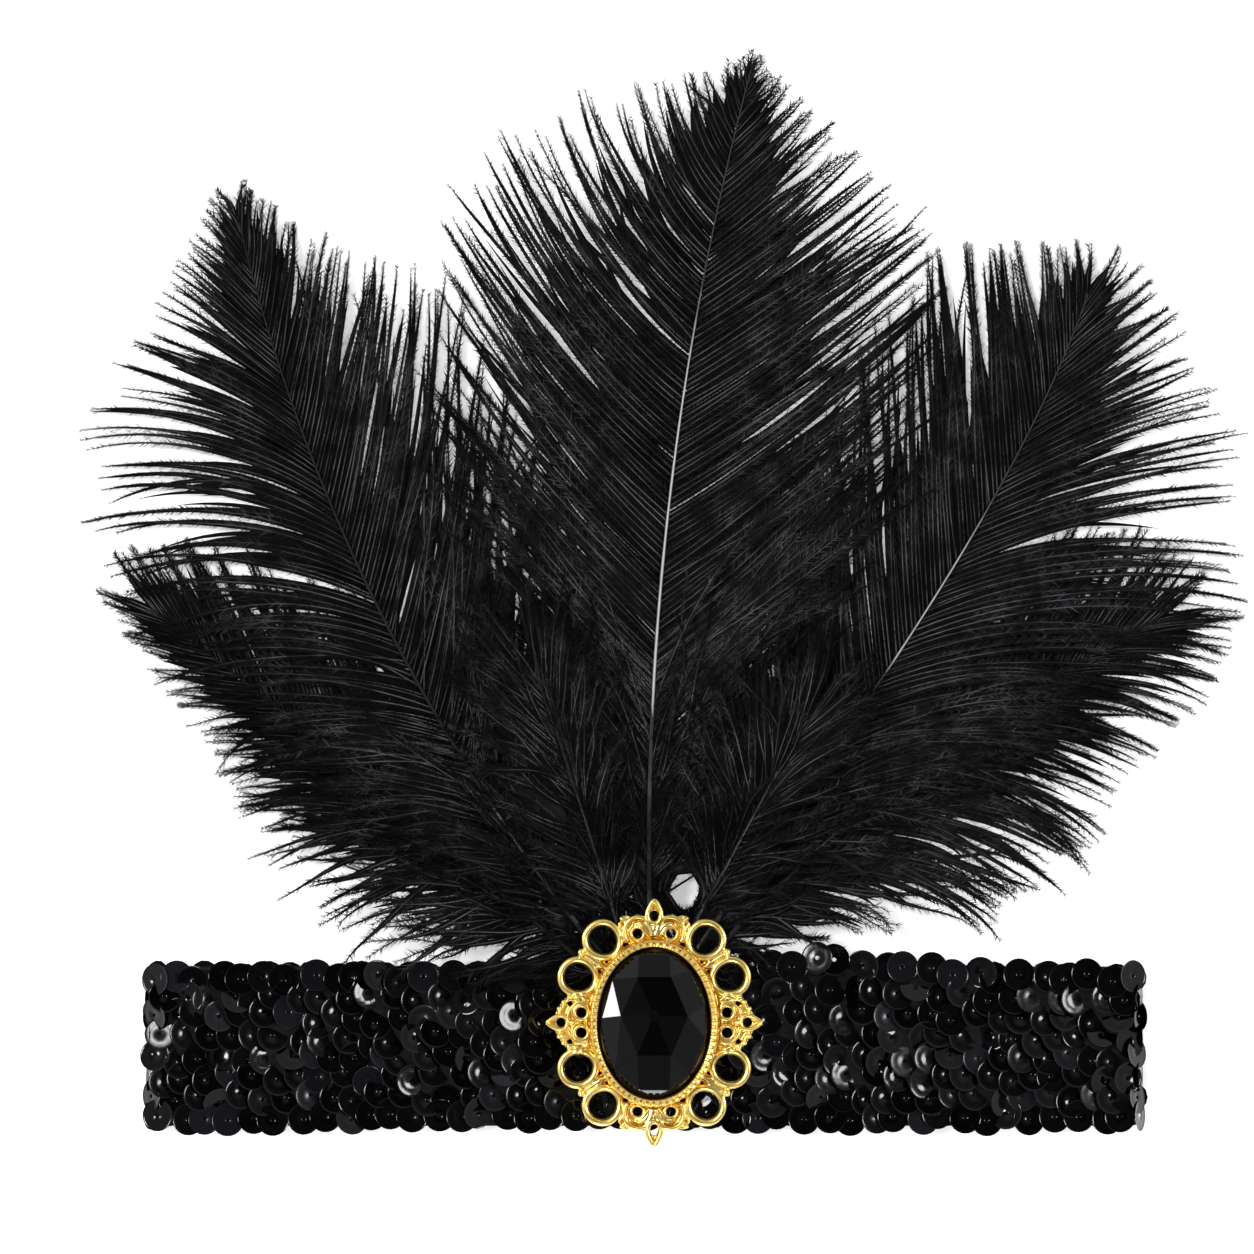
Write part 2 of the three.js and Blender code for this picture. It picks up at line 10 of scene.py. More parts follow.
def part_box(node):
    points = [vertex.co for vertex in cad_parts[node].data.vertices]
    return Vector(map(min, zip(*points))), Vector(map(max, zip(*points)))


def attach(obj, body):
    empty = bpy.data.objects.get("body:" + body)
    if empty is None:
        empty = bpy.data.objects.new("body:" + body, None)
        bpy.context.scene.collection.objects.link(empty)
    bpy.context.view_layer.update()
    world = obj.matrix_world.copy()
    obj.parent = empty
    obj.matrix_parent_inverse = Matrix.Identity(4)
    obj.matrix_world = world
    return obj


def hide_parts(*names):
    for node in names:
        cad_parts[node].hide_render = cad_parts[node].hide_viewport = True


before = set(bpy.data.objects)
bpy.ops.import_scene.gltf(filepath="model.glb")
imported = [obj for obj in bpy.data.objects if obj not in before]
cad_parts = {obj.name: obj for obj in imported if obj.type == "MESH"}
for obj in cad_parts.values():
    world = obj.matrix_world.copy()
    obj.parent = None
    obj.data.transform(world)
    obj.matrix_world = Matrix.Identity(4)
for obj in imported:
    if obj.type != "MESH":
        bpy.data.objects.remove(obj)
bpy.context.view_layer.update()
mm = 0.001
random = np.random.default_rng(7)

# The band, as it is cut and sewn, in millimetres
band = {
    "length": 250, "width": 42.5, "wall": 2.6, "headGap": 5,
    "elasticWall": 1.0, "elasticWidth": 39.0, "elasticInset": 0.7, "elasticBulge": 0.2,
}
bandTop = band["headGap"] + 2 * band["wall"]
foldRadius = (band["headGap"] + band["wall"]) / 2
bandStraight = band["length"] - bandTop
bandFold = math.pi * foldRadius

# The brooch sits a little off the middle of the band
brooch = {
    "across": 2.25, "up": 6.75, "width": 54.4, "height": 61.2,
    "stoneWidth": 27.4, "stoneHeight": 37.0, "seatGap": 0.3, "bezelWall": 2.3,
    "tray": 1.4, "bezelRise": 3.4,
}
bezelX = brooch["stoneWidth"] / 2 + brooch["seatGap"] + brooch["bezelWall"]
bezelY = brooch["stoneHeight"] / 2 + brooch["seatGap"] + brooch["bezelWall"]
crestX = brooch["width"] / 2 - bezelX
crestY = brooch["height"] / 2 - bezelY

# How the plumes lie: side by side in the pad, then in layers down to just above the table. The
# layers part outside the brooch's outline, from partFrom times its size over partOver more.
lay = {
    "quill": 1.8, "fitGap": 0.3, "padSkin": 0.7, "padLip": 4.5,
    "seatInset": 1.25, "floorGap": 0.7, "drape": 44, "plumeLength": 228, "partFrom": 1.02, "partOver": 0.35,
}
quillSpacing = lay["quill"] + 4 * lay["fitGap"]
layerStep = lay["quill"] + 2 * lay["fitGap"]
padThickness = lay["quill"] + 2 * (lay["fitGap"] + lay["padSkin"])
padFloor = bandTop + lay["fitGap"]
quillHeight = padFloor + padThickness / 2
seatLine = band["width"] / 2 - lay["seatInset"]
padTop = seatLine + lay["padLip"]
broochFloor = padFloor + padThickness + lay["fitGap"]


def linear(hexColour):
    channels = [int(hexColour[i:i + 2], 16) / 255 for i in (1, 3, 5)]
    return tuple(c / 12.92 if c <= 0.04045 else ((c + 0.055) / 1.055) ** 2.4 for c in channels) + (1.0,)


def smooth(share):
    share = np.clip(share, 0, 1)
    return share * share * (3 - 2 * share)


def addNode(tree, kind, settings=None, links=None):
    node = tree.nodes.new(kind)
    for name, value in (settings or {}).items():
        if isinstance(name, str) and hasattr(node, name):
            setattr(node, name, value)
        else:
            node.inputs[name].default_value = value
    for name, source in (links or {}).items():
        tree.links.new(source, node.inputs[name])
    return node


def startMaterial(name):
    material = bpy.data.materials.new(name)
    material.use_nodes = True
    tree = material.node_tree
    tree.nodes.clear()
    return material, tree


def finishMaterial(tree, settings, links):
    shader = addNode(tree, "ShaderNodeBsdfPrincipled", settings, links)
    addNode(tree, "ShaderNodeOutputMaterial", links={"Surface": shader.outputs["BSDF"]})


def fadeColours(tree, factor, stops):
    ramp = addNode(tree, "ShaderNodeValToRGB", links={"Fac": factor})
    elements = ramp.color_ramp.elements
    while len(elements) < len(stops):
        elements.new(0.5)
    for element, (place, colour) in zip(elements, stops):
        element.position = place
        element.color = linear(colour)
    return ramp.outputs["Color"]


# PET film sequins, vacuum-formed into cups and dyed black: a hard mirror-like gloss with faint
# waves from the forming, and a slightly different black from one sequin to the next
def makeSequinFilm():
    material, tree = startMaterial("sequin film")
    place = addNode(tree, "ShaderNodeTexCoord").outputs["Object"]
    shade = addNode(tree, "ShaderNodeAttribute", {"attribute_name": "shade"}).outputs["Fac"]
    colour = fadeColours(tree, shade, [(0, "#020203"), (0.7, "#050506"), (1, "#15151a")])
    wave = addNode(tree, "ShaderNodeTexNoise", {"Scale": 1 / (2.6 * mm), "Detail": 1.0}, {"Vector": place})
    bump = addNode(tree, "ShaderNodeBump", {"Strength": 0.3, "Distance": 0.12 * mm},
                   {"Height": wave.outputs["Fac"]})
    gloss = addNode(tree, "ShaderNodeMapRange", {"To Min": 0.07, "To Max": 0.2}, {"Value": shade})
    finishMaterial(tree, {"IOR": 1.57, "Specular IOR Level": 0.22}, {
        "Base Color": colour, "Roughness": gloss.outputs["Result"], "Normal": bump.outputs["Normal"]})
    return material


# Woven elastic, dyed black: matt, with ribs along the band a millimetre apart
def makeElasticWeave():
    material, tree = startMaterial("woven elastic")
    place = addNode(tree, "ShaderNodeTexCoord").outputs["Object"]
    ribs = addNode(tree, "ShaderNodeTexWave", {
        "bands_direction": "Y", "Scale": 0.31 / (1.0 * mm) / 2, "Distortion": 0.4}, {"Vector": place})
    yarn = addNode(tree, "ShaderNodeTexNoise", {"Scale": 1 / (0.5 * mm), "Detail": 3.0}, {"Vector": place})
    mixed = addNode(tree, "ShaderNodeMix", {"data_type": "FLOAT", "Factor": 0.35},
                    {"A": ribs.outputs["Fac"], "B": yarn.outputs["Fac"]})
    bump = addNode(tree, "ShaderNodeBump", {"Strength": 0.6, "Distance": 0.25 * mm},
                   {"Height": mixed.outputs["Result"]})
    colour = fadeColours(tree, mixed.outputs["Result"], [(0, "#020202"), (1, "#0b0b0b")])
    finishMaterial(tree, {"Roughness": 0.85, "Specular IOR Level": 0.2}, {
        "Base Color": colour, "Normal": bump.outputs["Normal"]})
    return material


# Zinc alloy cast in one piece, tumbled and gold-plated: soft bright highlights on the raised
# relief, partly a paler gold painted on by occlusion, and a brown-gold painted shade in the recesses
def makeGoldPlate():
    material, tree = startMaterial("gold-plated casting")
    place = addNode(tree, "ShaderNodeTexCoord").outputs["Object"]
    hollow = addNode(tree, "ShaderNodeAmbientOcclusion", {"Distance": 1.4 * mm, "samples": 8})
    # Painted shade and highlight: occlusion darkens the gold to brown in the recesses and pales it on the
    # open relief
    colour = fadeColours(tree, hollow.outputs["AO"],
                         [(0.15, "#6e3f08"), (0.5, "#d09a2c"), (0.9, "#f6d67c")])
    grain = addNode(tree, "ShaderNodeTexNoise", {"Scale": 1 / (0.6 * mm), "Detail": 2.0}, {"Vector": place})
    bump = addNode(tree, "ShaderNodeBump", {"Strength": 0.12, "Distance": 0.08 * mm},
                   {"Height": grain.outputs["Fac"]})
    rough = addNode(tree, "ShaderNodeMapRange", {"To Min": 0.45, "To Max": 0.3},
                    {"Value": hollow.outputs["AO"]})
    finishMaterial(tree, {"Metallic": 1.0}, {
        "Base Color": colour, "Roughness": rough.outputs["Result"], "Normal": bump.outputs["Normal"]})
    return material


# Acrylic (PMMA), moulded and polished: deep black gloss with a few hairline scratches
def makeBlackAcrylic():
    material, tree = startMaterial("black acrylic")
    place = addNode(tree, "ShaderNodeTexCoord").outputs["Object"]
    scratch = addNode(tree, "ShaderNodeTexVoronoi", {
        "feature": "DISTANCE_TO_EDGE", "Scale": 1 / (9 * mm), "Randomness": 1.0}, {"Vector": place})
    line = addNode(tree, "ShaderNodeMapRange", {"From Max": 0.008, "To Min": 0.12, "To Max": 0.035},
                   {"Value": scratch.outputs["Distance"]})
    finishMaterial(tree, {"Base Color": linear("#030304"), "IOR": 1.49, "Specular IOR Level": 0.36}, {
        "Roughness": line.outputs["Result"]})
    return material


# Ostrich barbs, dyed black: soft keratin strands, with a silky grey sheen painted into their colour in
# patches
def makeFeatherBarb():
    material, tree = startMaterial("dyed ostrich barb")
    place = addNode(tree, "ShaderNodeTexCoord").outputs["Object"]
    patch = addNode(tree, "ShaderNodeTexNoise", {"Scale": 1 / (8 * mm), "Detail": 3.0}, {"Vector": place})
    # Painted sheen: the shade of each corner, in noise patches, pales the black base colour towards grey
    paintedSheen = addNode(tree, "ShaderNodeMapRange", {"From Min": 0.36, "From Max": 0.66, "To Min": 0.12},
                    {"Value": patch.outputs["Fac"]})
    shade = addNode(tree, "ShaderNodeAttribute", {"attribute_name": "shade"}).outputs["Fac"]
    lit = addNode(tree, "ShaderNodeMath", {"operation": "MULTIPLY"}, {0: paintedSheen.outputs["Result"], 1: shade})
    colour = fadeColours(tree, lit.outputs["Value"], [(0, "#020203"), (1, "#5c5c60")])
    finishMaterial(tree, {"Roughness": 0.42, "IOR": 1.55, "Specular IOR Level": 0.06}, {
        "Base Color": colour})
    return material


# Quill keratin, dyed: harder and glossier than the barbs, with a painted highlight that is nearly white along
# the ridge of its back
def makeQuillKeratin(name, dark, pale):
    material, tree = startMaterial(name)
    place = addNode(tree, "ShaderNodeTexCoord").outputs["Object"]
    streak = addNode(tree, "ShaderNodeTexNoise", {"Scale": 1 / (5 * mm), "Detail": 2.0}, {"Vector": place})
    # Painted highlight: the shade of each corner, with streaks, fades the dark quill colour to nearly white
    paintedHighlightAndTone = addNode(tree, "ShaderNodeAttribute", {"attribute_name": "shade"}).outputs["Fac"]
    streakedHighlightAndTone = addNode(tree, "ShaderNodeMath", {"operation": "MULTIPLY_ADD", 1: 0.35},
                    {0: streak.outputs["Fac"], 2: paintedHighlightAndTone})
    colour = fadeColours(tree, streakedHighlightAndTone.outputs["Value"], [(0.35, dark), (1.0, pale)])
    finishMaterial(tree, {"Roughness": 0.35, "IOR": 1.54, "Specular IOR Level": 0.2}, {"Base Color": colour})
    return material


# Pressed wool felt, black: no gloss, a short fuzzy surface
def makeFelt():
    material, tree = startMaterial("black felt")
    place = addNode(tree, "ShaderNodeTexCoord").outputs["Object"]
    fuzz = addNode(tree, "ShaderNodeTexNoise", {"Scale": 1 / (0.4 * mm), "Detail": 6.0}, {"Vector": place})
    bump = addNode(tree, "ShaderNodeBump", {"Strength": 0.8, "Distance": 0.3 * mm},
                   {"Height": fuzz.outputs["Fac"]})
    colour = fadeColours(tree, fuzz.outputs["Fac"], [(0.3, "#060606"), (0.7, "#1a1a1a")])
    finishMaterial(tree, {"Roughness": 0.95, "Sheen Weight": 0.3}, {
        "Base Color": colour, "Normal": bump.outputs["Normal"]})
    return material


sequinFilm = makeSequinFilm()
elasticWeave = makeElasticWeave()
goldPlate = makeGoldPlate()
blackAcrylic = makeBlackAcrylic()
featherBarb = makeFeatherBarb()
quillKeratin = makeQuillKeratin("dyed quill with painted highlight", "#0c0c0d", "#b4b4b0")
blackFelt = makeFelt()
print("materials ready")


def addObject(name, data):
    made = bpy.data.objects.new(name, data)
    bpy.context.scene.collection.objects.link(made)
    return made


def countTriangles(mesh):
    return sum(len(face.vertices) - 2 for face in mesh.polygons)


# A piece from arrays of corners (millimetres) and faces, with one material number per face and one
# shade per corner
def makePiece(name, corners, faces, materials, faceMaterials=None, shade=None, isSmooth=False):
    mesh = bpy.data.meshes.new(name)
    mesh.from_pydata((np.asarray(corners, float) * mm).tolist(), [], faces)
    for material in materials:
        mesh.materials.append(material)
    if faceMaterials is not None:
        mesh.polygons.foreach_set("material_index", np.asarray(faceMaterials, np.int32))
    mesh.polygons.foreach_set("use_smooth", np.full(len(mesh.polygons), isSmooth, bool))
    if shade is not None:
        layer = mesh.attributes.new("shade", "FLOAT", "POINT")
        layer.data.foreach_set("value", np.asarray(shade, np.float32))
    mesh.update()
    return addObject(name, mesh)


# Joins parts, which start with corners and faces, into one pair; arrays of faces join quickly
def joinParts(parts):
    corners = []
    faces = []
    count = 0
    for part in parts:
        corners.append(np.asarray(part[0], float))
        if isinstance(part[1], np.ndarray):
            faces += (part[1] + count).tolist()
        else:
            faces += [tuple(i + count for i in face) for face in part[1]]
        count += len(part[0])
    return np.concatenate(corners), faces


# Faces of a strip of rings, each with the same number of corners
def ringFaces(rings, size, closedAlong=False, capped=True):
    faces = []
    for i in range(rings if closedAlong else rings - 1):
        here = i * size
        after = ((i + 1) % rings) * size
        for k in range(size):
            j = (k + 1) % size
            faces.append((here + k, here + j, after + j, after + k))
    if capped and not closedAlong:
        faces.append(tuple(range(size))[::-1])
        faces.append(tuple((rings - 1) * size + k for k in range(size)))
    return faces


# Height of the feathers at a place, as on the solids
def featherHeight(x, y, layer):
    low = lay["floorGap"] + lay["quill"] / 2
    awayX = (x - brooch["across"]) / (brooch["width"] / 2)
    awayY = (y - brooch["up"]) / (brooch["height"] / 2)
    parted = smooth((np.hypot(awayX, awayY) - lay["partFrom"]) / lay["partOver"])
    drape = smooth((y - padTop) / lay["drape"])
    return quillHeight + (low - quillHeight) * drape + layer * layerStep * parted


# Plumes. seat and drop are in quill spacings across from the brooch's middle and down from the seat
# line, length is a share of plumeLength, lean is in degrees from straight up at root and tip, and a
# high turn keeps the bend for the tip. bunch is the number of barbs to a lock and clump how far they
# cling to it. pale says where along the rachis the painted highlight lies on its ridge: from, to, fade
# and amount, and tone lightens all of it. Each row: where on the rachis, then reach (share of the
# length), lean off the rachis and outward curl in degrees, for the left and the right side.
plumes = {
    "plume_lower_left": {
        "seat": -4.9, "drop": 0.25, "length": 0.63, "lean": (-50, -52), "turn": 1, "layer": 0,
        "barbs": 84, "bunch": 4.2, "clump": 0.7, "pale": (0, 0, 1, 0), "downyLean": (-22, 24), "rows": [
            (0.13, (0.26, 46, 6), (0.16, 30, 0)),
            (0.25, (0.28, 42, 6), (0.30, 32, 0)),
            (0.45, (0.27, 38, 8), (0.40, 34, -8)),
            (0.65, (0.20, 36, 8), (0.36, 34, -8)),
            (0.85, (0.16, 28, 0), (0.24, 30, -6)),
            (1.00, (0.12, 14, 0), (0.12, 14, 0))]},
    "plume_lower_right": {
        "seat": 3.6, "drop": 0.2, "length": 0.64, "lean": (42, 64), "turn": 1, "layer": 0,
        "barbs": 88, "bunch": 4.2, "clump": 0.75, "pale": (0, 0, 1, 0), "downyLean": (-22, 14), "rows": [
            (0.15, (0.14, 30, 0), (0.18, 50, 10)),
            (0.25, (0.30, 32, 0), (0.32, 44, 30)),
            (0.45, (0.42, 34, -8), (0.36, 32, 40)),
            (0.65, (0.38, 34, -6), (0.32, 26, 36)),
            (0.85, (0.26, 28, 0), (0.26, 18, 28)),
            (1.00, (0.12, 12, 0), (0.15, 8, 14))]},
    "plume_left": {
        "seat": -3.4, "drop": 0, "length": 0.93, "lean": (-40, -13), "turn": 1, "layer": 1,
        "barbs": 112, "bunch": 3.4, "clump": 0.6, "pale": (0.2, 0.22, 0.05, 0.5), "rows": [
            (0.12, (0.12, 40, 0), (0.16, 40, -6)),
            (0.30, (0.26, 42, 30), (0.42, 46, -12)),
            (0.50, (0.32, 40, 42), (0.42, 43, -10)),
            (0.64, (0.32, 32, 46), (0.29, 36, -4)),
            (0.74, (0.22, 32, 20), (0.22, 33, -6)),
            (0.82, (0.16, 32, 6), (0.17, 30, -8)),
            (0.92, (0.10, 26, 4), (0.105, 22, -4)),
            (1.00, (0.05, 12, 0), (0.05, 14, 0))]},
    "plume_right": {
        "seat": 2.45, "drop": 0, "length": 0.865, "lean": (35, 19), "turn": 3, "layer": 1,
        "barbs": 106, "bunch": 4.2, "clump": 0.75, "pale": (0.44, 0.62, 0.14, 0.8), "rows": [
            (0.12, (0.20, 42, 0), (0.12, 34, 0)),
            (0.20, (0.32, 48, -4), (0.24, 36, 20)),
            (0.30, (0.38, 46, -6), (0.33, 36, 34)),
            (0.50, (0.43, 38, -6), (0.42, 34, 40)),
            (0.66, (0.37, 34, 2), (0.36, 34, 20)),
            (0.82, (0.23, 32, 2), (0.23, 32, 2)),
            (0.92, (0.14, 24, 0), (0.15, 26, 0)),
            (1.00, (0.07, 14, 0), (0.07, 14, 0))]},
    "plume_center": {
        "seat": -0.25, "drop": 0, "length": 1, "lean": (-2, 15), "turn": 1, "layer": 2,
        "barbs": 120, "bunch": 3.2, "clump": 0.5, "pale": (0.27, 0.6, 0.2, 1.0), "tone": 0.1, "rows": [
            (0.14, (0.14, 44, 0), (0.20, 46, -4)),
            (0.22, (0.26, 46, -4), (0.27, 44, -6)),
            (0.34, (0.36, 48, -6), (0.37, 48, -8)),
            (0.50, (0.40, 54, -12), (0.38, 54, -14)),
            (0.64, (0.35, 60, -28), (0.33, 50, -10)),
            (0.78, (0.22, 58, -36), (0.21, 43, -8)),
            (0.90, (0.10, 48, -34), (0.10, 36, -8)),
            (0.96, (0.045, 32, -20), (0.045, 30, -8)),
            (1.00, (0.02, 10, 0), (0.02, 10, 0))]},
    "tuft_left": {
        "seat": -1.95, "drop": 0, "length": 0.34, "lean": (-16, -20), "turn": 1, "layer": 3,
        "barbs": 52, "bunch": 3.2, "clump": 0.5, "pale": (0, 0, 1, 0), "rows": [
            (0.29, (0.38, 46, 0), (0.30, 30, 0)),
            (0.60, (0.52, 40, 0), (0.50, 30, 0)),
            (1.00, (0.38, 14, 0), (0.38, 12, 0))]},
    "tuft_right": {
        "seat": 1.35, "drop": 0, "length": 0.31, "lean": (28, 30), "turn": 1, "layer": 3,
        "barbs": 48, "bunch": 3.2, "clump": 0.5, "pale": (0, 0, 1, 0), "rows": [
            (0.32, (0.40, 40, 0), (0.32, 46, 0)),
            (0.60, (0.58, 42, 0), (0.46, 36, 6)),
            (1.00, (0.38, 16, 0), (0.36, 18, 0))]},
}

# One ostrich barb and its barbules, in millimetres and degrees. web is the width over which the
# barbules mat together beside the shaft, and they close up into a point over the last few millimetres.
# tooth is the number of barbules that stick together at their ends, and none has a painted glint
# nearer the rachis than glintFrom. down is how much lower than the first full barb the soft, messy
# ones begin, over the length messy; downy is how many of them there are to a full barb and downyLean
# the range that they lean by. stray is the share of barbs that leaves its lock, and clumpFrom the
# share of its length where a barb begins to cling. under is how many barbs to a full one lie lower and fill
# the vane.
# Nothing comes nearer the table than its own floor.
barb = {
    "shaft": 0.3, "web": 1.7, "pointed": 11, "rise": 0.12, "arch": 0.4, "stations": 14, "floor": 0.75,
    "barbuleEvery": 0.38, "barbuleLength": 2.7, "barbuleWidth": 0.3, "barbuleAngle": 31, "tooth": 3,
    "barbuleFloor": 0.25, "glintFrom": 10, "glintOver": 16, "down": 27, "messy": 75, "downy": 0.75,
    "downyLean": (-30, 8), "growFrom": 8, "growOver": 18, "stray": 0.07, "strayLean": 7, "strayCurl": 20,
    "clumpFrom": 0.4, "under": 1.05, "underDrop": 0.75, "underFloor": 0.3,
}


# Points of a plume's centre line: x, y and heading, with the share of the length as its index
def spineOf(plume):
    steps = 100
    share = np.linspace(0, 1, steps + 1)
    root, tip = plume["lean"]
    heading = np.radians(root + (tip - root) * share ** plume["turn"])
    step = plume["length"] * lay["plumeLength"] / steps
    sideways = np.concatenate([[0], np.cumsum(np.sin(heading[:-1]))]) * step
    upwards = np.concatenate([[0], np.cumsum(np.cos(heading[:-1]))]) * step
    x = brooch["across"] + plume["seat"] * quillSpacing + sideways
    y = seatLine - plume["drop"] * quillSpacing + upwards
    return share, x, y, heading


# Centre lines of barbs that leave the rachis at the given shares: arrays of x, y and heading
def barbLines(plume, spine, at, side, reachBy=1, leanBy=0, curlBy=0):
    share, spineX, spineY, heading = spine
    rowAt = [row[0] for row in plume["rows"]]
    column = 1 if side < 0 else 2
    reach, lean, curl = [np.interp(at, rowAt, [row[column][k] for row in plume["rows"]]) for k in range(3)]
    along = np.linspace(0, 1, barb["stations"])
    angle = np.interp(at, share, heading)[:, None] + side * np.radians(
        (lean + leanBy)[:, None] + (curl + curlBy)[:, None] * along)
    step = (reach * reachBy * plume["length"] * lay["plumeLength"] / (barb["stations"] - 1))[:, None]
    middle = (angle[:, 1:] + angle[:, :-1]) / 2

    def follow(root, direction):
        walked = np.pad(np.cumsum(direction * step, axis=1), ((0, 0), (1, 0)))
        return np.interp(at, share, root)[:, None] + walked

    return follow(spineX, np.sin(middle)), follow(spineY, np.cos(middle)), angle


# Roof-shaped ribbons along lines: width and rise at every station, rolled about their length
def ribbons(x, y, z, angle, width, rise, roll):
    count, stations = x.shape
    sideX = np.cos(angle) * width / 2
    sideY = -np.sin(angle) * width / 2
    left = np.stack([x - sideX, y - sideY, z + roll * width / 2], axis=2)
    ridge = np.stack([x, y, z + rise], axis=2)
    right = np.stack([x + sideX, y + sideY, z - roll * width / 2], axis=2)
    corners = np.stack([left, ridge, right], axis=2).reshape(-1, 3)
    first = (np.arange(count)[:, None] * stations + np.arange(stations - 1)[None, :]) * 3
    first = first.reshape(-1, 1)
    faces = np.concatenate([first + [0, 1, 4, 3], first + [1, 2, 5, 4]])
    return corners, faces


# The small gap beside the middle quill, where the barbs part: the nearer its middle, the further out
parting = {"x": 9.3, "y": 39.3, "across": 6.0, "up": 6.2, "push": 0.14}


def partBarbs(x, y):
    awayX, awayY = x - parting["x"], y - parting["y"]
    away = np.maximum(np.hypot(awayX / parting["across"], awayY / parting["up"]), 0.02)
    push = np.where(away < 1, away ** parting["push"] / away, 1)
    return parting["x"] + awayX * push, parting["y"] + awayY * push


# How messy the barbs are at a distance from the root, from 1 to 0
def messiness(distance):
    return 1 - smooth(distance / barb["messy"] - 0.3)


# Where the barbs leave the rachis: the full ones evenly, then the extra soft ones near the root
def placeBarbs(plume, first, length):
    count = plume["barbs"]
    at = first + (0.998 - first) * (np.arange(count) + random.uniform(0.25, 0.75, count)) / count
    extra = first + (barb["messy"] / length) * random.uniform(0, 1, int(count * barb["downy"]))
    return np.concatenate([at, extra[extra < 0.98]])


# Locks, the bunches that barbs cling to: which lock each barb has, and how the locks themselves lie
def makeLocks(plume, at, first, full, length):
    count = len(at)
    locks = int(count / plume["bunch"])
    place = (at - first) / (1 - first) * locks + random.uniform(-0.3, 0.3, count)
    lock = np.clip(place.astype(int), 0, locks - 1)
    lockAt = first + (0.995 - first) * (np.arange(locks) + random.uniform(0.2, 0.8, locks)) / locks
    messy = messiness(lockAt * length)
    reach = random.uniform(0.94, 1.05, locks) * (0.35 + 0.65 * smooth((lockAt - first) / (full - first)))
    lean = np.clip(random.normal(0, 1, locks), -1.5, 1.5) * (0.5 + 5 * messy)
    curl = np.clip(random.normal(0, 1, locks), -1.5, 1.5) * (4 + 10 * messy)
    lift = random.uniform(-0.5, 0.5, locks)
    return lock, {"at": lockAt, "reach": reach, "lean": lean, "curl": curl, "lift": lift}


# One side of a plume: barb shafts, the barbules matted beside them, loose barbules and under-barbs
def makeVane(plume, spine, side):
    length = plume["length"] * lay["plumeLength"]
    full = plume["rows"][0][0]
    first = full - barb["down"] / length
    at = placeBarbs(plume, first, length)
    count = len(at)
    lock, locks = makeLocks(plume, at, first, full, length)
    messy = messiness(at * length)
    isDowny = np.arange(count) >= plume["barbs"]
    downyLean = isDowny * random.uniform(*plume.get("downyLean", barb["downyLean"]), count) * messy
    grown = 0.4 + 0.6 * smooth((at * length - barb["growFrom"]) / barb["growOver"])
    reachBy = random.uniform(0.84, 1.0, count) * np.where(isDowny, 1.1 * grown, locks["reach"][lock])
    isStray = random.uniform(0, 1, count) < barb["stray"]
    leanSpread = 0.8 + 5 * messy + barb["strayLean"] * isStray
    leanBy = locks["lean"][lock] + downyLean + random.normal(0, 1, count) * leanSpread
    curlSpread = 3 + 12 * messy + barb["strayCurl"] * isStray
    curlBy = locks["curl"][lock] + random.normal(0, 1, count) * curlSpread
    x, y, angle = barbLines(plume, spine, at, side, reachBy, leanBy, curlBy)

    # Each barb drifts a little and is drawn towards the middle of its lock
    coreX, coreY, _ = barbLines(plume, spine, locks["at"], side, locks["reach"], locks["lean"], locks["curl"])
    along = np.linspace(0, 1, barb["stations"])
    pull = plume["clump"] * (1 - 0.8 * isDowny) * (1 - 0.8 * isStray) * random.uniform(0.1, 1.5, count)
    pull = np.clip(smooth((along - barb["clumpFrom"]) / (1 - barb["clumpFrom"])) * pull[:, None], 0, 0.96)
    wave = np.sin(along * random.uniform(4, 9, count)[:, None] + random.uniform(0, 6, count)[:, None])
    drift = (0.4 + 0.9 * messy)[:, None] * wave * along
    x = x + (coreX[lock] - x) * pull + np.cos(angle) * drift
    y = y + (coreY[lock] - y) * pull - np.sin(angle) * drift
    x, y = partBarbs(x, y)
    angle = np.arctan2(np.gradient(x, axis=1), np.gradient(y, axis=1))
    lift = locks["lift"][lock][:, None] * along
    lift = lift + random.uniform(-0.3, 0.3, count)[:, None] * smooth(along / 0.4)
    height = featherHeight(x, y, plume["layer"]) + lift + barb["arch"] * np.sin(math.pi * along)
    z = np.maximum(height, barb["floor"])
    roll = random.normal(0, 0.2, count)[:, None] * np.ones_like(x)

    # The shaft, and below it the web, which thins out where the lock is open
    reach = np.hypot(np.diff(x, axis=1), np.diff(y, axis=1)).sum(axis=1)[:, None]
    tip = np.clip(reach * (1 - along) / barb["pointed"], 0, 1)
    openness = 0.45 + 0.35 * random.uniform(0, 1, len(locks["at"]))[lock][:, None]
    thin = 1 - openness * smooth((along - barb["clumpFrom"]) / 0.4)
    web = barb["web"] * random.uniform(0.8, 1.15, count)[:, None] * thin * tip ** 0.7 + 0.05
    shaft = ribbons(x, y, z, angle, barb["shaft"] * (1 - 0.55 * along) * (0.3 + 0.7 * tip),
                    barb["rise"] * (1 - 0.7 * along), roll)
    under = z - 0.12 - 0.4 * (1 - smooth(along / 0.5))
    matted = ribbons(x, y, under, angle, web, 0.04, roll)
    # Painted sheen on the shafts: full over the inner half, fading out towards the tip; the web gets none
    paintedSheen = (0.35 + 0.65 * random.uniform(0, 1, count))[:, None] * (1 - smooth((along - 0.5) / 0.4))
    return [shaft + (np.repeat(paintedSheen, 3),), matted + (np.zeros(len(matted[0])),),
            makeBarbules(x, y, z, angle, roll, messy), makeUnderBarbs(plume, spine, side, full)]


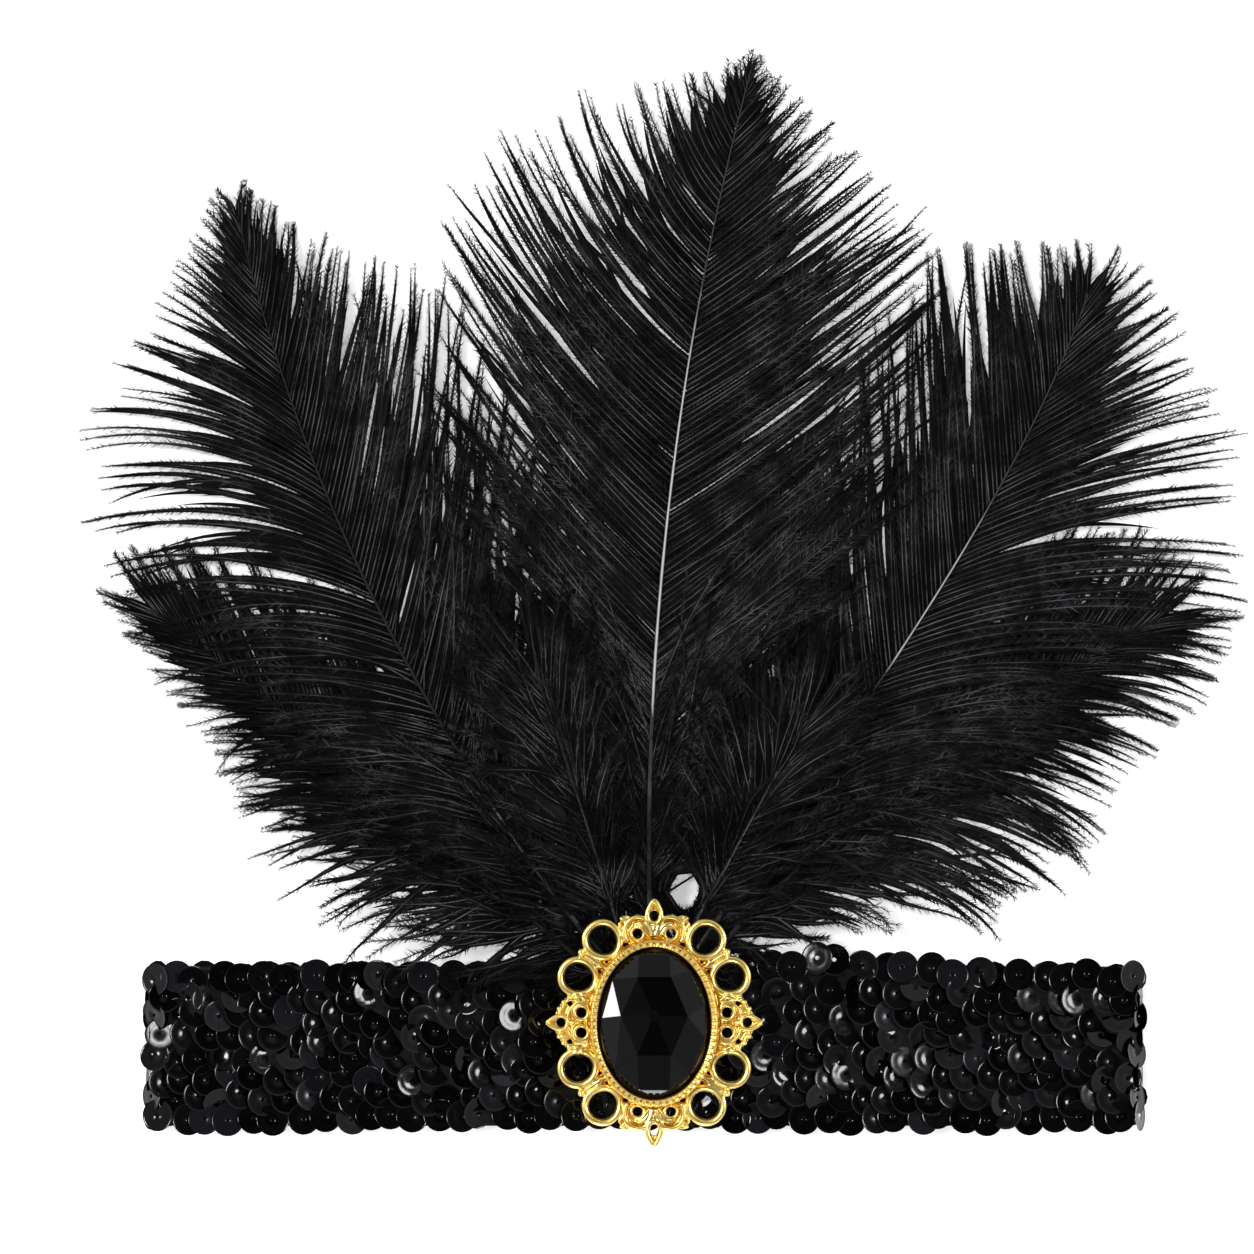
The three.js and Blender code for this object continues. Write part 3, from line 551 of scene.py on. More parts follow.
# Barbs under the others, at slightly other angles, which close the vane near the rachis
def makeUnderBarbs(plume, spine, side, first):
    count = int(plume["barbs"] * barb["under"])
    at = np.sort(random.uniform(first, 0.97, count))
    x, y, angle = barbLines(plume, spine, at, side, random.uniform(0.5, 0.85, count),
                            random.normal(0, 3, count), random.normal(0, 5, count))
    x, y = partBarbs(x, y)
    along = np.linspace(0, 1, barb["stations"])
    z = np.maximum(featherHeight(x, y, plume["layer"]) - barb["underDrop"], barb["underFloor"])
    width = barb["web"] * random.uniform(0.8, 1.2, count)[:, None] * (1 - along ** 3) + 0.05
    corners, faces = ribbons(x, y, z, angle, width, 0.05, np.zeros_like(x))
    return corners, faces, np.zeros(len(corners))


# Barbules stand off both sides of every barb and lie closer to it towards its tip
def makeBarbules(x, y, z, angle, roll, messy):
    count, stations = x.shape
    length = np.hypot(np.diff(x, axis=1), np.diff(y, axis=1)).sum(axis=1)
    each = np.maximum(2, (length / barb["barbuleEvery"]).astype(int))
    row = np.repeat(np.arange(count), each)
    number = np.arange(len(row)) - np.repeat(np.cumsum(each) - each, each)
    tooth = np.cumsum(np.append(0, (np.diff(row) != 0) | (number[1:] % barb["tooth"] == 0)))
    loose = (0.6 + 0.8 * messy)[row]

    def placeOn(share):
        place = np.clip(share, 0, 0.9999) * (stations - 1)
        low = place.astype(int)
        part = place - low
        return [grid[row, low] * (1 - part) + grid[row, low + 1] * part for grid in (x, y, z, angle)]

    corners = []
    glow = []
    for side in (-1, 1):
        share = np.clip((number + random.uniform(0, 1, len(row))) / each[row], 0, 0.9999)
        shared = (number // barb["tooth"] + 0.5) * barb["tooth"] / each[row]
        baseX, baseY, baseZ, heading = placeOn(share)
        towards = placeOn(share + 0.75 * (shared - share))
        fan = barb["barbuleAngle"] * (1.15 - 0.1 * share ** 2)
        fan = fan + random.normal(0, 6, tooth[-1] + 1)[tooth] * loose + random.normal(0, 2, len(row))
        swing = heading + side * np.radians(fan)
        reach = barb["barbuleLength"] * (1.05 - 0.5 * share ** 6)
        reach = reach * random.uniform(0.55, 1.2, tooth[-1] + 1)[tooth]
        half = barb["barbuleWidth"] / 2 * random.uniform(0.7, 1.2, len(row))
        halfX, halfY = np.sin(heading) * half, np.cos(heading) * half
        tipZ = baseZ - side * roll[row, 0] * reach * np.sin(np.radians(fan)) - 0.1
        tipZ = np.maximum(tipZ + random.normal(0, 0.25, len(row)) * loose, barb["barbuleFloor"])
        tipX, tipY = towards[0] + np.sin(swing) * reach, towards[1] + np.cos(swing) * reach
        corners.append(np.stack([
            np.stack([baseX + halfX, baseY + halfY, baseZ + 0.04], axis=1),
            np.stack([baseX - halfX, baseY - halfY, baseZ - 0.04], axis=1),
            np.stack([tipX, tipY, tipZ], axis=1)], axis=1))
        # Painted glints: a few barbules are paled in colour, from glintFrom outwards and not near the tip of
        # their barb
        far = smooth((share * length[row] - barb["glintFrom"]) / barb["glintOver"])
        paintedGlint = 0.8 * random.uniform(0, 1, len(row)) ** 4 * far * (1 - smooth((share - 0.7) / 0.2))
        glow.append(np.repeat(paintedGlint, 3))
    corners = np.concatenate(corners).reshape(-1, 3)
    return corners, np.arange(len(corners)).reshape(-1, 3), np.concatenate(glow)


# The rachis: round at the quill, thinner towards the tip, with a pale painted highlight on the ridge
# of its back, fainter on its sides
rachis = {
    "at": [0, 0.15, 0.35, 0.7, 1], "width": [1.8, 1.4, 0.95, 0.6, 0.3], "sides": 8, "rings": 60,
    "hidden": 0.02, "lift": 0.3, "flat": 0.8, "ridge": 0.9, "sideShade": 0.15,
}


def makeRachis(plume, spine):
    share, spineX, spineY, heading = spine
    sides = rachis["sides"]
    at = np.concatenate([[-rachis["hidden"]], np.linspace(0, 1, rachis["rings"])])
    length = plume["length"] * lay["plumeLength"]
    angle = np.interp(at, share, heading)
    back = np.minimum(at, 0) * length
    x = np.interp(at, share, spineX) + np.sin(angle) * back
    y = np.interp(at, share, spineY) + np.cos(angle) * back
    z = featherHeight(x, y, plume["layer"]) + rachis["lift"]
    radius = np.interp(at, rachis["at"], rachis["width"]) / 2
    around = np.arange(sides) / sides * 2 * math.pi
    side = np.cos(around)[None, :] * radius[:, None]
    corners = np.stack([
        x[:, None] + np.cos(angle)[:, None] * side, y[:, None] - np.sin(angle)[:, None] * side,
        z[:, None] + np.sin(around)[None, :] * radius[:, None] * rachis["flat"]], axis=2).reshape(-1, 3)
    start, end, fade, amount = plume["pale"]
    # Painted highlight: pale along the ridge of the back over the stretch that pale gives, faint on the sides
    paintedHighlight = smooth((at - start) / 0.03) * (1 - smooth((at - end) / fade)) * amount
    ridge = np.where(np.sin(around) > rachis["ridge"], 1, rachis["sideShade"])
    shade = np.repeat(paintedHighlight, sides) * np.tile(ridge, len(at)) + plume.get("tone", 0)
    return corners, ringFaces(len(at), sides), shade


def makePlume(name, plume):
    spine = spineOf(plume)
    vanes = makeVane(plume, spine, -1) + makeVane(plume, spine, 1)
    quill = makeRachis(plume, spine)
    corners, faces = joinParts(vanes + [quill])
    barbFaces = len(faces) - len(quill[1])
    faceMaterials = [0] * barbFaces + [1] * len(quill[1])
    shade = np.concatenate([part[2] for part in vanes + [quill]])
    piece = makePiece(name + "_feather", corners, faces, [featherBarb, quillKeratin], faceMaterials, shade)
    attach(piece, "root")
    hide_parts(name)
    return piece


for name, plume in plumes.items():
    piece = makePlume(name, plume)
    print(name, "done,", countTriangles(piece.data), "triangles")


# Where a point of the folded loop is: x and the turn of its outer face (0 down, pi up)
def loopPlace(walk):
    walk = walk % (2 * (bandStraight + bandFold))
    if walk <= bandStraight:
        x, turn = walk - bandStraight / 2, 0
    elif walk < bandStraight + bandFold:
        x, turn = bandStraight / 2, (walk - bandStraight) / foldRadius
    elif walk <= 2 * bandStraight + bandFold:
        x, turn = bandStraight / 2 - (walk - bandStraight - bandFold), math.pi
    else:
        x, turn = -bandStraight / 2, math.pi + (walk - 2 * bandStraight - bandFold) / foldRadius
    return x, turn


# Upper edge of the front layer, pushed up beside the brooch, as shares of half the width; spread
# turns them into shares of the room that the rows' middles take up
frontEdges = {
    "at": [-1, -0.6, -0.2, 0.1, 0.36, 0.5, 0.7, 1], "top": [1, 1.01, 1, 1.06, 1.22, 1.12, 1.02, 1],
    "spread": 1.24,
}

# A cup sequin in millimetres and degrees: the rings of its section from the hole to the turned rim,
# and how it leans on its neighbours along the row and across the rows. loose is the share that has
# turned over further, by looseTurn. At the folds, on the back and at the edges the sequins lie more
# evenly, by the shares under calm, and at the folds and edges flatter, by those under flat.
sequin = {
    "diameter": 8.0, "rows": 8, "pitch": 5.7, "leanAlong": 13, "leanAcross": -9, "scatter": 4.5,
    "uneven": 0.24, "stray": 1.6, "loose": 0.17, "looseTurn": (8, 30),
    "calm": {"fold": 0.15, "back": 0.35, "edge": 0.6}, "flat": {"fold": 0.1, "edge": 0.45},
    "radii": [0.5, 0.75, 2.4, 3.5, 3.88, 4.0], "heights": [0.0, 0.1, 0.03, 0.04, 0.07, 0.13],
    "seat": 0.15, "pile": 0.5, "edgeLift": 0.25, "floor": 0.02, "segments": 24, "backSegments": 12,
    "backTurn": 0.9, "foldRise": 0.6,
}


def sequinCorners(segments, radii, heights):
    angle = np.arange(segments) / segments * 2 * math.pi
    rings = [np.stack([np.cos(angle) * r, np.sin(angle) * r, np.full(segments, h)], axis=1)
             for r, h in zip(radii, heights)]
    return np.concatenate(rings)


def turnCorners(corners, angle, axis):
    a, b = [(1, 2), (2, 0), (0, 1)][axis]
    turned = corners.copy()
    turned[:, a] = corners[:, a] * math.cos(angle) - corners[:, b] * math.sin(angle)
    turned[:, b] = corners[:, a] * math.sin(angle) + corners[:, b] * math.cos(angle)
    return turned


# One cup sequin placed on the loop, leaning on the next
def placeSequin(cup, x, turn, y, isEdge, isBack):
    outX, outZ = math.sin(turn), -math.cos(turn)
    calm, flat = 1, 1
    if abs(outZ) < sequin["foldRise"]:
        calm, flat = sequin["calm"]["fold"], sequin["flat"]["fold"]
    elif isBack or isEdge:
        calm = sequin["calm"]["back" if isBack else "edge"]
        flat = sequin["flat"]["edge"] if isEdge else 1
    y = y + random.uniform(-1, 1) * sequin["stray"] * calm
    along = math.radians(sequin["leanAlong"] * flat + random.normal(0, sequin["scatter"] * calm))
    across = math.radians(sequin["leanAcross"] * flat + random.normal(0, sequin["scatter"] * calm))
    if random.uniform(0, 1) < sequin["loose"] * calm:
        tilt = math.radians(random.uniform(*sequin["looseTurn"]))
        direction = random.uniform(0, 2 * math.pi)
        along += tilt * math.cos(direction)
        across += tilt * math.sin(direction)
    corners = turnCorners(cup, random.uniform(0, 6), 2)
    corners = turnCorners(turnCorners(corners, across, 0), along, 1)
    lift = sequin["edgeLift"] if isEdge else 0
    out = foldRadius + sequin["seat"] + random.uniform(0, sequin["pile"]) + lift
    placed = np.stack([
        x + outX * out + corners[:, 0] * outZ + corners[:, 2] * outX,
        y + corners[:, 1],
        bandTop / 2 + outZ * out - corners[:, 0] * outX + corners[:, 2] * outZ], axis=1)
    placed[:, 2] = np.maximum(placed[:, 2], sequin["floor"])
    return placed


# Cup sequins sewn in rows round the outside of the loop
def makeSequins():
    around = 2 * (bandStraight + bandFold)
    perRow = round(around / sequin["pitch"])
    radii, heights = sequin["radii"], sequin["heights"]
    cups = {"front": sequinCorners(sequin["segments"], radii, heights),
            "back": sequinCorners(sequin["backSegments"], radii[::3], heights[::3])}
    cupFaces = {"front": np.array(ringFaces(len(radii), sequin["segments"], capped=False)),
                "back": np.array(ringFaces(2, sequin["backSegments"], capped=False))}
    parts = {"front": [], "back": []}
    shades = {"front": [], "back": []}
    rowRoom = band["width"] - sequin["diameter"]
    for row in range(sequin["rows"]):
        rowShare = row / (sequin["rows"] - 1) * 2 - 1
        for number in range(perRow):
            sewnAt = number + 0.5 * (row % 2) + random.uniform(-sequin["uneven"], sequin["uneven"])
            x, turn = loopPlace(sewnAt * around / perRow)
            isBack = turn < sequin["backTurn"] or turn > 2 * math.pi - sequin["backTurn"]
            widen = 1.0
            isTop = -math.cos(turn) > 0.9
            if isTop and rowShare > 0:
                edge = np.interp(2 * x / band["length"], frontEdges["at"], frontEdges["top"])
                widen = 1 + (edge - 1) * rowShare * frontEdges["spread"]
            layer = "back" if isBack else "front"
            y = rowShare * rowRoom / 2 * widen
            placed = placeSequin(cups[layer], x, turn, y, abs(rowShare) == 1, isBack)
            parts[layer].append((placed, cupFaces[layer]))
            shades[layer].append(np.full(len(placed), random.uniform(0, 1) ** 2))
    for layer in ("front", "back"):
        corners, faces = joinParts(parts[layer])
        piece = makePiece("sequins_" + layer, corners, faces, [sequinFilm],
                          shade=np.concatenate(shades[layer]), isSmooth=True)
        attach(piece, "root")
        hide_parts("band")
        print("sequins", layer, len(parts[layer]), "sequins,", countTriangles(piece.data), "triangles")


# The elastic strip that the sequins are sewn to
def makeElastic():
    straightSteps, foldSteps = 60, 14
    spans = [(bandStraight, straightSteps), (bandFold, foldSteps)] * 2
    walks = []
    start = 0
    for span, steps in spans:
        walks += [start + span * i / steps for i in range(steps)]
        start += span
    half = band["elasticWidth"] / 2
    thin = band["elasticWall"] / 2
    bulge = half + band["elasticBulge"]
    section = [(-half, -thin), (-bulge, 0), (-half, thin), (-half / 3, thin), (half / 3, thin),
               (half, thin), (bulge, 0), (half, -thin), (half / 3, -thin), (-half / 3, -thin)]
    rings = []
    for walk in walks:
        x, turn = loopPlace(walk)
        for y, out in section:
            reach = foldRadius - band["elasticInset"] + out
            rings.append((x + math.sin(turn) * reach, y, bandTop / 2 - math.cos(turn) * reach))
    piece = makePiece("elastic_strip", np.array(rings), ringFaces(len(walks), len(section), closedAlong=True),
                      [elasticWeave], isSmooth=True)
    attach(piece, "root")
    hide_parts("band")
    print("elastic done")


makeSequins()
makeElastic()


def onEllipse(halfX, halfY, degrees, out=0.0):
    a = math.radians(degrees)
    normal = Vector((math.cos(a) / halfX, math.sin(a) / halfY)).normalized()
    return Vector((math.cos(a) * halfX, math.sin(a) * halfY)) + normal * out


# Smooth line through a few given points
def curveThrough(points, steps=6, closed=False):
    points = [Vector(p) for p in points]
    count = len(points)
    line = []
    for i in range(count if closed else count - 1):
        if closed:
            p0, p1, p2, p3 = [points[(i + k) % count] for k in (-1, 0, 1, 2)]
        else:
            p0, p1, p2, p3 = [points[min(count - 1, max(0, i + k))] for k in (-1, 0, 1, 2)]
        for j in range(steps):
            t = j / steps
            line.append(0.5 * (2 * p1 + (p2 - p0) * t + (2 * p0 - 5 * p1 + 4 * p2 - p3) * t * t
                               + (3 * p1 - p0 - 3 * p2 + p3) * t ** 3))
    if not closed:
        line.append(points[-1])
    return line


# Round wire along a flat line at a height; the radius may taper to the ends
def wire(line, height, radius, closed=False, sides=8, endRadius=None):
    corners = []
    count = len(line)
    for i, point in enumerate(line):
        before = line[i - 1] if closed or i else point
        after = line[(i + 1) % count] if closed or i < count - 1 else point
        direction = (after - before).normalized()
        side = Vector((direction.y, -direction.x))
        here = radius
        if endRadius is not None:
            here = endRadius + (radius - endRadius) * math.sin(math.pi * min(1, max(0, (i + 0.3) / count)))
        for k in range(sides):
            a = k / sides * 2 * math.pi
            spot = point + side * math.cos(a) * here
            corners.append((spot.x, spot.y, height + math.sin(a) * here))
    return np.array(corners), ringFaces(count, sides, closedAlong=closed)


# Wire through points given for the right half of a crest; side is -1 for its copy on the left
def halfWire(points, side, height, radius, endRadius=None):
    return wire(curveThrough([(x * side, y) for x, y in points]), height, radius, endRadius=endRadius)


# Corners and faces of a finished bmesh, which is then freed
def takeArrays(made):
    made.verts.index_update()
    corners = np.array([v.co for v in made.verts])
    faces = [tuple(v.index for v in face.verts) for face in made.faces]
    made.free()
    return corners, faces


def bead(x, y, height, radius, stretch=(1, 1, 1)):
    made = bmesh.new()
    bmesh.ops.create_icosphere(made, subdivisions=2, radius=radius)
    corners, faces = takeArrays(made)
    return corners * stretch + [x, y, height], faces


# Small block with rounded edges: sizes along, across and upwards, tilted and then turned
def block(x, y, height, size, degrees, tilt):
    made = bmesh.new()
    bmesh.ops.create_cube(made, size=1)
    bmesh.ops.scale(made, vec=size, verts=made.verts)
    bmesh.ops.bevel(made, geom=made.edges, offset=min(size) * 0.28, segments=2, affect="EDGES", profile=0.5)
    corners, faces = takeArrays(made)
    corners = turnCorners(corners, math.radians(tilt), 1)
    return turnCorners(corners, math.radians(degrees), 2) + [x, y, height], faces


# Flat plate with the outline and the holes given, bottom at zero
def plate(outline, thickness, holes=()):
    points = []
    edges = []
    loopOf = []
    for number, loop in enumerate([outline, *holes]):
        start = len(points)
        points += loop
        edges += [(start + i, start + (i + 1) % len(loop)) for i in range(len(loop))]
        loopOf += [number] * len(loop)
    flat, _, triangles, *_ = delaunay_2d_cdt(points, edges, [], 1, 1e-5)
    triangles = [face for face in triangles if loopOf[face[0]] == 0 or len({loopOf[i] for i in face}) > 1]
    count = len(flat)
    corners = [(p.x, p.y, z) for z in (0, thickness) for p in flat]
    faces = [tuple(face)[::-1] for face in triangles] + [tuple(i + count for i in face) for face in triangles]
    faces += [(i, j, count + j, count + i) for i, j in edges]
    return np.array(corners), faces


def ringOf(x, y, radius, stretch=1.0, steps=20):
    return [Vector((x + math.cos(a) * radius, y + math.sin(a) * radius * stretch))
            for a in np.arange(steps) / steps * 2 * math.pi]


# Moves parts from a crest's own place (across, outward) to its place on the bezel
def placeOnBezel(parts, degrees, out=0.0):
    foot = onEllipse(bezelX, bezelY, degrees, out)
    normal = (onEllipse(bezelX, bezelY, degrees, 1) - onEllipse(bezelX, bezelY, degrees)).normalized()
    turn = math.atan2(normal.y, normal.x) - math.pi / 2
    return [(turnCorners(corners, turn, 2) + [foot.x, foot.y, 0], faces) for corners, faces in parts]


# The pierced plate of a crest: the right half of its outline and all of its holes
def crestPlate(half, holes):
    outline = [Vector(p) for p in half] + [Vector((-x, y)) for x, y in half[:0:-1]]
    return plate(outline[::-1], 1.1, [ringOf(*hole) for hole in holes])


# Openwork crest over the long ends: a drop with a pointed tip above two fan scrolls
def endCrest(isLower):
    half = [(0, 9.5), (0.9, 8.4), (1.9, 6.6), (2.1, 5.2), (3.1, 5.6), (4.4, 5.9), (5.8, 5.2),
            (6.9, 5.5), (8.3, 5.2), (8.6, 4.0), (8.2, 2.4), (8.2, 0.4), (8.0, -1.4)]
    drop = [(0, 9.2), (-1.35, 7.2), (-1.75, 5.4), (-1.1, 3.9), (0, 3.5), (1.1, 3.9), (1.75, 5.4), (1.35, 7.2)]
    scroll = [(0.3, 0.4), (1.0, 2.6), (2.3, 4.6), (4.3, 5.1), (6.3, 4.2), (7.3, 2.4), (7.2, 0.0), (6.6, -1.0)]
    fans = [[(0.8, 0.2), (1.9, 2.4), (3.4, 3.6), (5.1, 3.2)],
            [(1.1, 0.0), (2.2, 1.5), (3.2, 2.6), (4.6, 2.7)],
            [(0.5, 0.6), (1.3, 3.4), (2.6, 4.9)]]
    leaf = [[(6.4, 2.8), (7.6, 4.2), (8.5, 5.0)], [(7.2, 1.4), (8.2, 2.6), (8.7, 3.8)]]
    holes = [(0, 5.5, 1.0, 1.5 if isLower else 1.25), (-4.15, 1.0, 1.15), (4.15, 1.0, 1.15)]
    parts = [crestPlate(half, holes), wire(curveThrough(drop, 5, True), 1.5, 0.66, True)]
    for side in (-1, 1):
        parts.append(halfWire(scroll, side, 1.5, 0.58))
        parts += [halfWire(fan, side, 1.6, 0.46, 0.22) for fan in fans]
        parts.append(wire(ringOf(4.15 * side, 1.0, 1.6), 1.4, 0.42, True))
        parts += [halfWire(line, side, 1.35, 0.5, 0.3) for line in leaf]
    parts.append(bead(0, 2.3, 1.5, 0.75, (0.8, 1.2, 0.8)))
    return parts


# Openwork crest at the two sides: a pointed leaf with a small eye over a pair of rings
def sideCrest():
    half = [(0, 10.9), (0.9, 9.7), (1.9, 8.4), (3.0, 7.9), (3.6, 7.2), (4.7, 7.0), (5.1, 6.2),
            (6.1, 5.9), (6.5, 4.6), (7.3, 4.0), (7.3, 2.4), (7.9, 1.2), (7.9, -1.4)]
    holes = [(0, 6.9, 1.05, 1.1), (-2.5, 1.8, 1.2), (2.5, 1.8, 1.2), (-4.7, 4.6, 0.6), (4.7, 4.6, 0.6)]
    scrolls = [[(0.2, 0.6), (2.2, 0.0), (4.6, 0.6), (5.0, 2.6), (3.6, 4.4), (1.6, 5.2)],
               [(5.6, 0.0), (6.4, 1.6), (5.8, 3.4), (5.5, 5.2), (3.8, 6.4), (2.2, 7.4)]]
    beads = [(7.2, 1.6), (7.0, 3.2), (6.2, 4.8), (5.0, 6.2), (3.4, 7.3)]
    leaf = [(0, 10.5), (1.1, 9.0), (1.7, 7.4), (1.4, 5.8), (0, 5.2)]
    parts = [crestPlate(half, holes)]
    for side in (-1, 1):
        parts.append(wire(ringOf(2.5 * side, 1.8, 1.75), 1.4, 0.5, True))
        parts += [halfWire(scroll, side, 1.4, 0.45, 0.25) for scroll in scrolls]
        parts += [bead(x * side, y, 1.3, 0.72) for x, y in beads]
        parts.append(halfWire(leaf, side, 1.5, 0.5))
    parts.append(bead(0, 4.1, 1.5, 0.7))
    return parts


# A wide egg-shaped loop with an inner lip, on two arms
def eggLoop(radius):
    steps, lip, egg, tall = 30, 0.75, 0.07, 1.05
    outer = []
    inner = []
    for i in range(steps):
        a = i / steps * 2 * math.pi
        wide = 1 + egg * math.sin(a)
        outer.append(Vector((math.cos(a) * radius * wide, math.sin(a) * radius * tall)))
        inner.append(Vector((math.cos(a) * (radius - lip) * wide, math.sin(a) * (radius * tall - lip))))
    arm = [(radius * 0.98, 1.0), (radius * 0.97, -1.6), (radius * 1.06, -4.6)]
    return [wire(outer, 1.0, 0.86, True), wire(inner, 0.8, 0.32, True),
            halfWire(arm, -1, 1.15, 0.5), halfWire(arm, 1, 1.15, 0.5)]


# A rib and a small head in the gap between the arms of neighbouring loops
def gapLeaf():
    parts = [wire(curveThrough([(0, -1.0), (0, 3.0), (0, 6.4)]), 1.25, 0.42)]
    parts.append(plate([Vector(p) for p in [(-1.3, -1.0), (1.3, -1.0), (0.9, 6.4), (-0.9, 6.4)]], 0.8))
    for x, y, size in [(0, 6.9, 0.95), (-1.25, 6.3, 0.72), (1.25, 6.3, 0.72)]:
        parts.append(bead(x, y, 1.1, size))
    return parts


def bezelDish():
    wall, tray, rise = brooch["bezelWall"], brooch["tray"], brooch["bezelRise"]
    profile = [(wall, 0), (wall, 1.1), (0.84 * wall, 1.2), (0.78 * wall, tray + 0.8 * rise),
               (0.5 * wall, tray + 0.92 * rise), (0.12 * wall, tray + 0.84 * rise),
               (0.02, tray + 0.7 * rise), (0, tray)]
    steps = 96
    corners = []
    for out, height in profile:
        for i in range(steps):
            spot = onEllipse(bezelX - wall, bezelY - wall, 360 * i / steps, out)
            corners.append((spot.x, spot.y, height))
    return np.array(corners), ringFaces(len(profile), steps)


# The row of blocks on the bezel: sizes in millimetres, tilt in degrees, and the row's place as
# shares of the bezel's wall and rise
milgrainRow = {"count": 66, "size": (1.7, 1.2, 1.0), "tilt": -34, "out": 0.45, "up": 0.92}


def milgrain():
    innerX, innerY = bezelX - brooch["bezelWall"], bezelY - brooch["bezelWall"]
    steps = 1440
    around = [onEllipse(innerX, innerY, 360 * i / steps, milgrainRow["out"] * brooch["bezelWall"])
              for i in range(steps)]
    walked = [(around[i] - around[i - 1]).length for i in range(1, steps)]
    lengths = np.concatenate([[0], np.cumsum(walked)])
    height = brooch["tray"] + milgrainRow["up"] * brooch["bezelRise"]
    parts = []
    for i in range(milgrainRow["count"]):
        spot = around[int(np.searchsorted(lengths, lengths[-1] * i / milgrainRow["count"]))]
        degrees = math.degrees(math.atan2(spot.y / innerY ** 2, spot.x / innerX ** 2))
        parts.append(block(spot.x, spot.y, height, milgrainRow["size"], degrees, milgrainRow["tilt"]))
    return parts


# Where the loops and the small leaves stand round the bezel, in degrees; the loops' radius and how
# far out they stand are shares of the crests' depth. The casting is fused on a grid of voxel
# millimetres, and keep is the share of its triangles that stays.
casting = {
    "loops": [27, 54, 126, 153, 207, 234, 306, 333], "leaves": [40.5, 139.5, 220.5, 319.5],
    "loopRadius": 0.425, "loopOut": 0.45, "voxel": 0.18, "keep": 0.26,
}


def makeBrooch():
    depth = (crestX + crestY) / 2
    parts = [bezelDish()]
    for degrees in casting["loops"]:
        parts += placeOnBezel(eggLoop(depth * casting["loopRadius"]), degrees, depth * casting["loopOut"])
    for degrees in casting["leaves"]:
        parts += placeOnBezel(gapLeaf(), degrees)
    crests = {90: endCrest(False), 270: endCrest(True), 0: sideCrest(), 180: sideCrest()}
    for degrees, crest in crests.items():
        parts += placeOnBezel(crest, degrees)
    place = np.array([brooch["across"], brooch["up"], broochFloor])
    corners, faces = joinParts(parts)
    cast = makePiece("brooch_casting", corners + place, faces, [goldPlate], isSmooth=True)
    cast.modifiers.new("fuse", "REMESH").voxel_size = casting["voxel"] * mm
    cast.modifiers.new("tumble", "SMOOTH").factor = 0.5
    cast.modifiers.new("lighten", "DECIMATE").ratio = casting["keep"]
    bpy.context.view_layer.update()
    fused = bpy.data.meshes.new_from_object(cast.evaluated_get(bpy.context.evaluated_depsgraph_get()))
    cast.modifiers.clear()
    cast.data = fused

    # The milgrain is added after the smoothing and shaded flat, so that its edges stay crisp
    grainCorners, grainFaces = joinParts(milgrain())
    withGrain = bmesh.new()
    withGrain.from_mesh(fused)
    made = [withGrain.verts.new(Vector(corner) * mm) for corner in grainCorners + place]
    for face in grainFaces:
        withGrain.faces.new([made[i] for i in face])
    withGrain.to_mesh(fused)
    withGrain.free()
    isCast = np.arange(len(fused.polygons)) < len(fused.polygons) - len(grainFaces)
    fused.polygons.foreach_set("use_smooth", isCast)
    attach(cast, "root")
    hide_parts("brooch_frame")
    print("brooch done,", countTriangles(fused), "triangles")


# The stone in millimetres, and the rings of its crown from the girdle up: share of the girdle's
# size, share of the crown's height, corners in sixths of a turn, and share of the upward shift
stone = {
    "girdle": 1.2, "crown": 4.4, "shift": 2.2, "edge": 0.12,
    "rings": [
        (0.95, 0.22, (0.22, 0.78, 1.22, 1.78, 2.38, 2.95, 3.7, 4.22, 4.78, 5.22, 5.78), 0.15),
        (0.6, 0.8, (0, 1, 2, 3, 4, 5), 0.9), (0.09, 1.0, (0, 1, 2, 3, 4, 5), 1.0)],
}


def makeStone():
    halfX, halfY = brooch["stoneWidth"] / 2, brooch["stoneHeight"] / 2
    back = brooch["tray"] + brooch["seatGap"]
    made = bmesh.new()
    place = Vector((brooch["across"], brooch["up"], broochFloor))

    def addRing(across, height, turns, shift):
        for turn in turns:
            a = turn / 6 * 2 * math.pi
            corner = Vector((math.cos(a) * halfX * across, math.sin(a) * halfY * across + shift, height))
            made.verts.new((corner + place) * mm)

    girdle = [i / 6 for i in range(36)]
    addRing(1, back, girdle, 0)
    addRing(1, back + stone["girdle"], girdle, 0)
    for across, rise, turns, pull in stone["rings"]:
        addRing(across, back + stone["girdle"] + rise * stone["crown"], turns, pull * stone["shift"])
    bmesh.ops.convex_hull(made, input=made.verts)
    bmesh.ops.dissolve_limit(made, angle_limit=math.radians(1.5), verts=made.verts, edges=made.edges)
    bmesh.ops.bevel(made, geom=made.edges, offset=stone["edge"] * mm, segments=1, affect="EDGES")
    mesh = bpy.data.meshes.new("faceted_stone")
    made.to_mesh(mesh)
    made.free()
    mesh.materials.append(blackAcrylic)
    piece = addObject("faceted_stone", mesh)
    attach(piece, "root")
    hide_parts("stone")
    print("stone done,", len(mesh.polygons), "faces")


makeBrooch()
makeStone()


# Two ovals of felt sewn together round their edge, with the quills glued between them: how far in
# from the edge, and the share of the full thickness there
pad = {"around": 48, "section": [(10, 1.0), (4, 0.98), (2, 0.88), (1.1, 0.66), (0.4, 0.62), (0, 0.35)]}


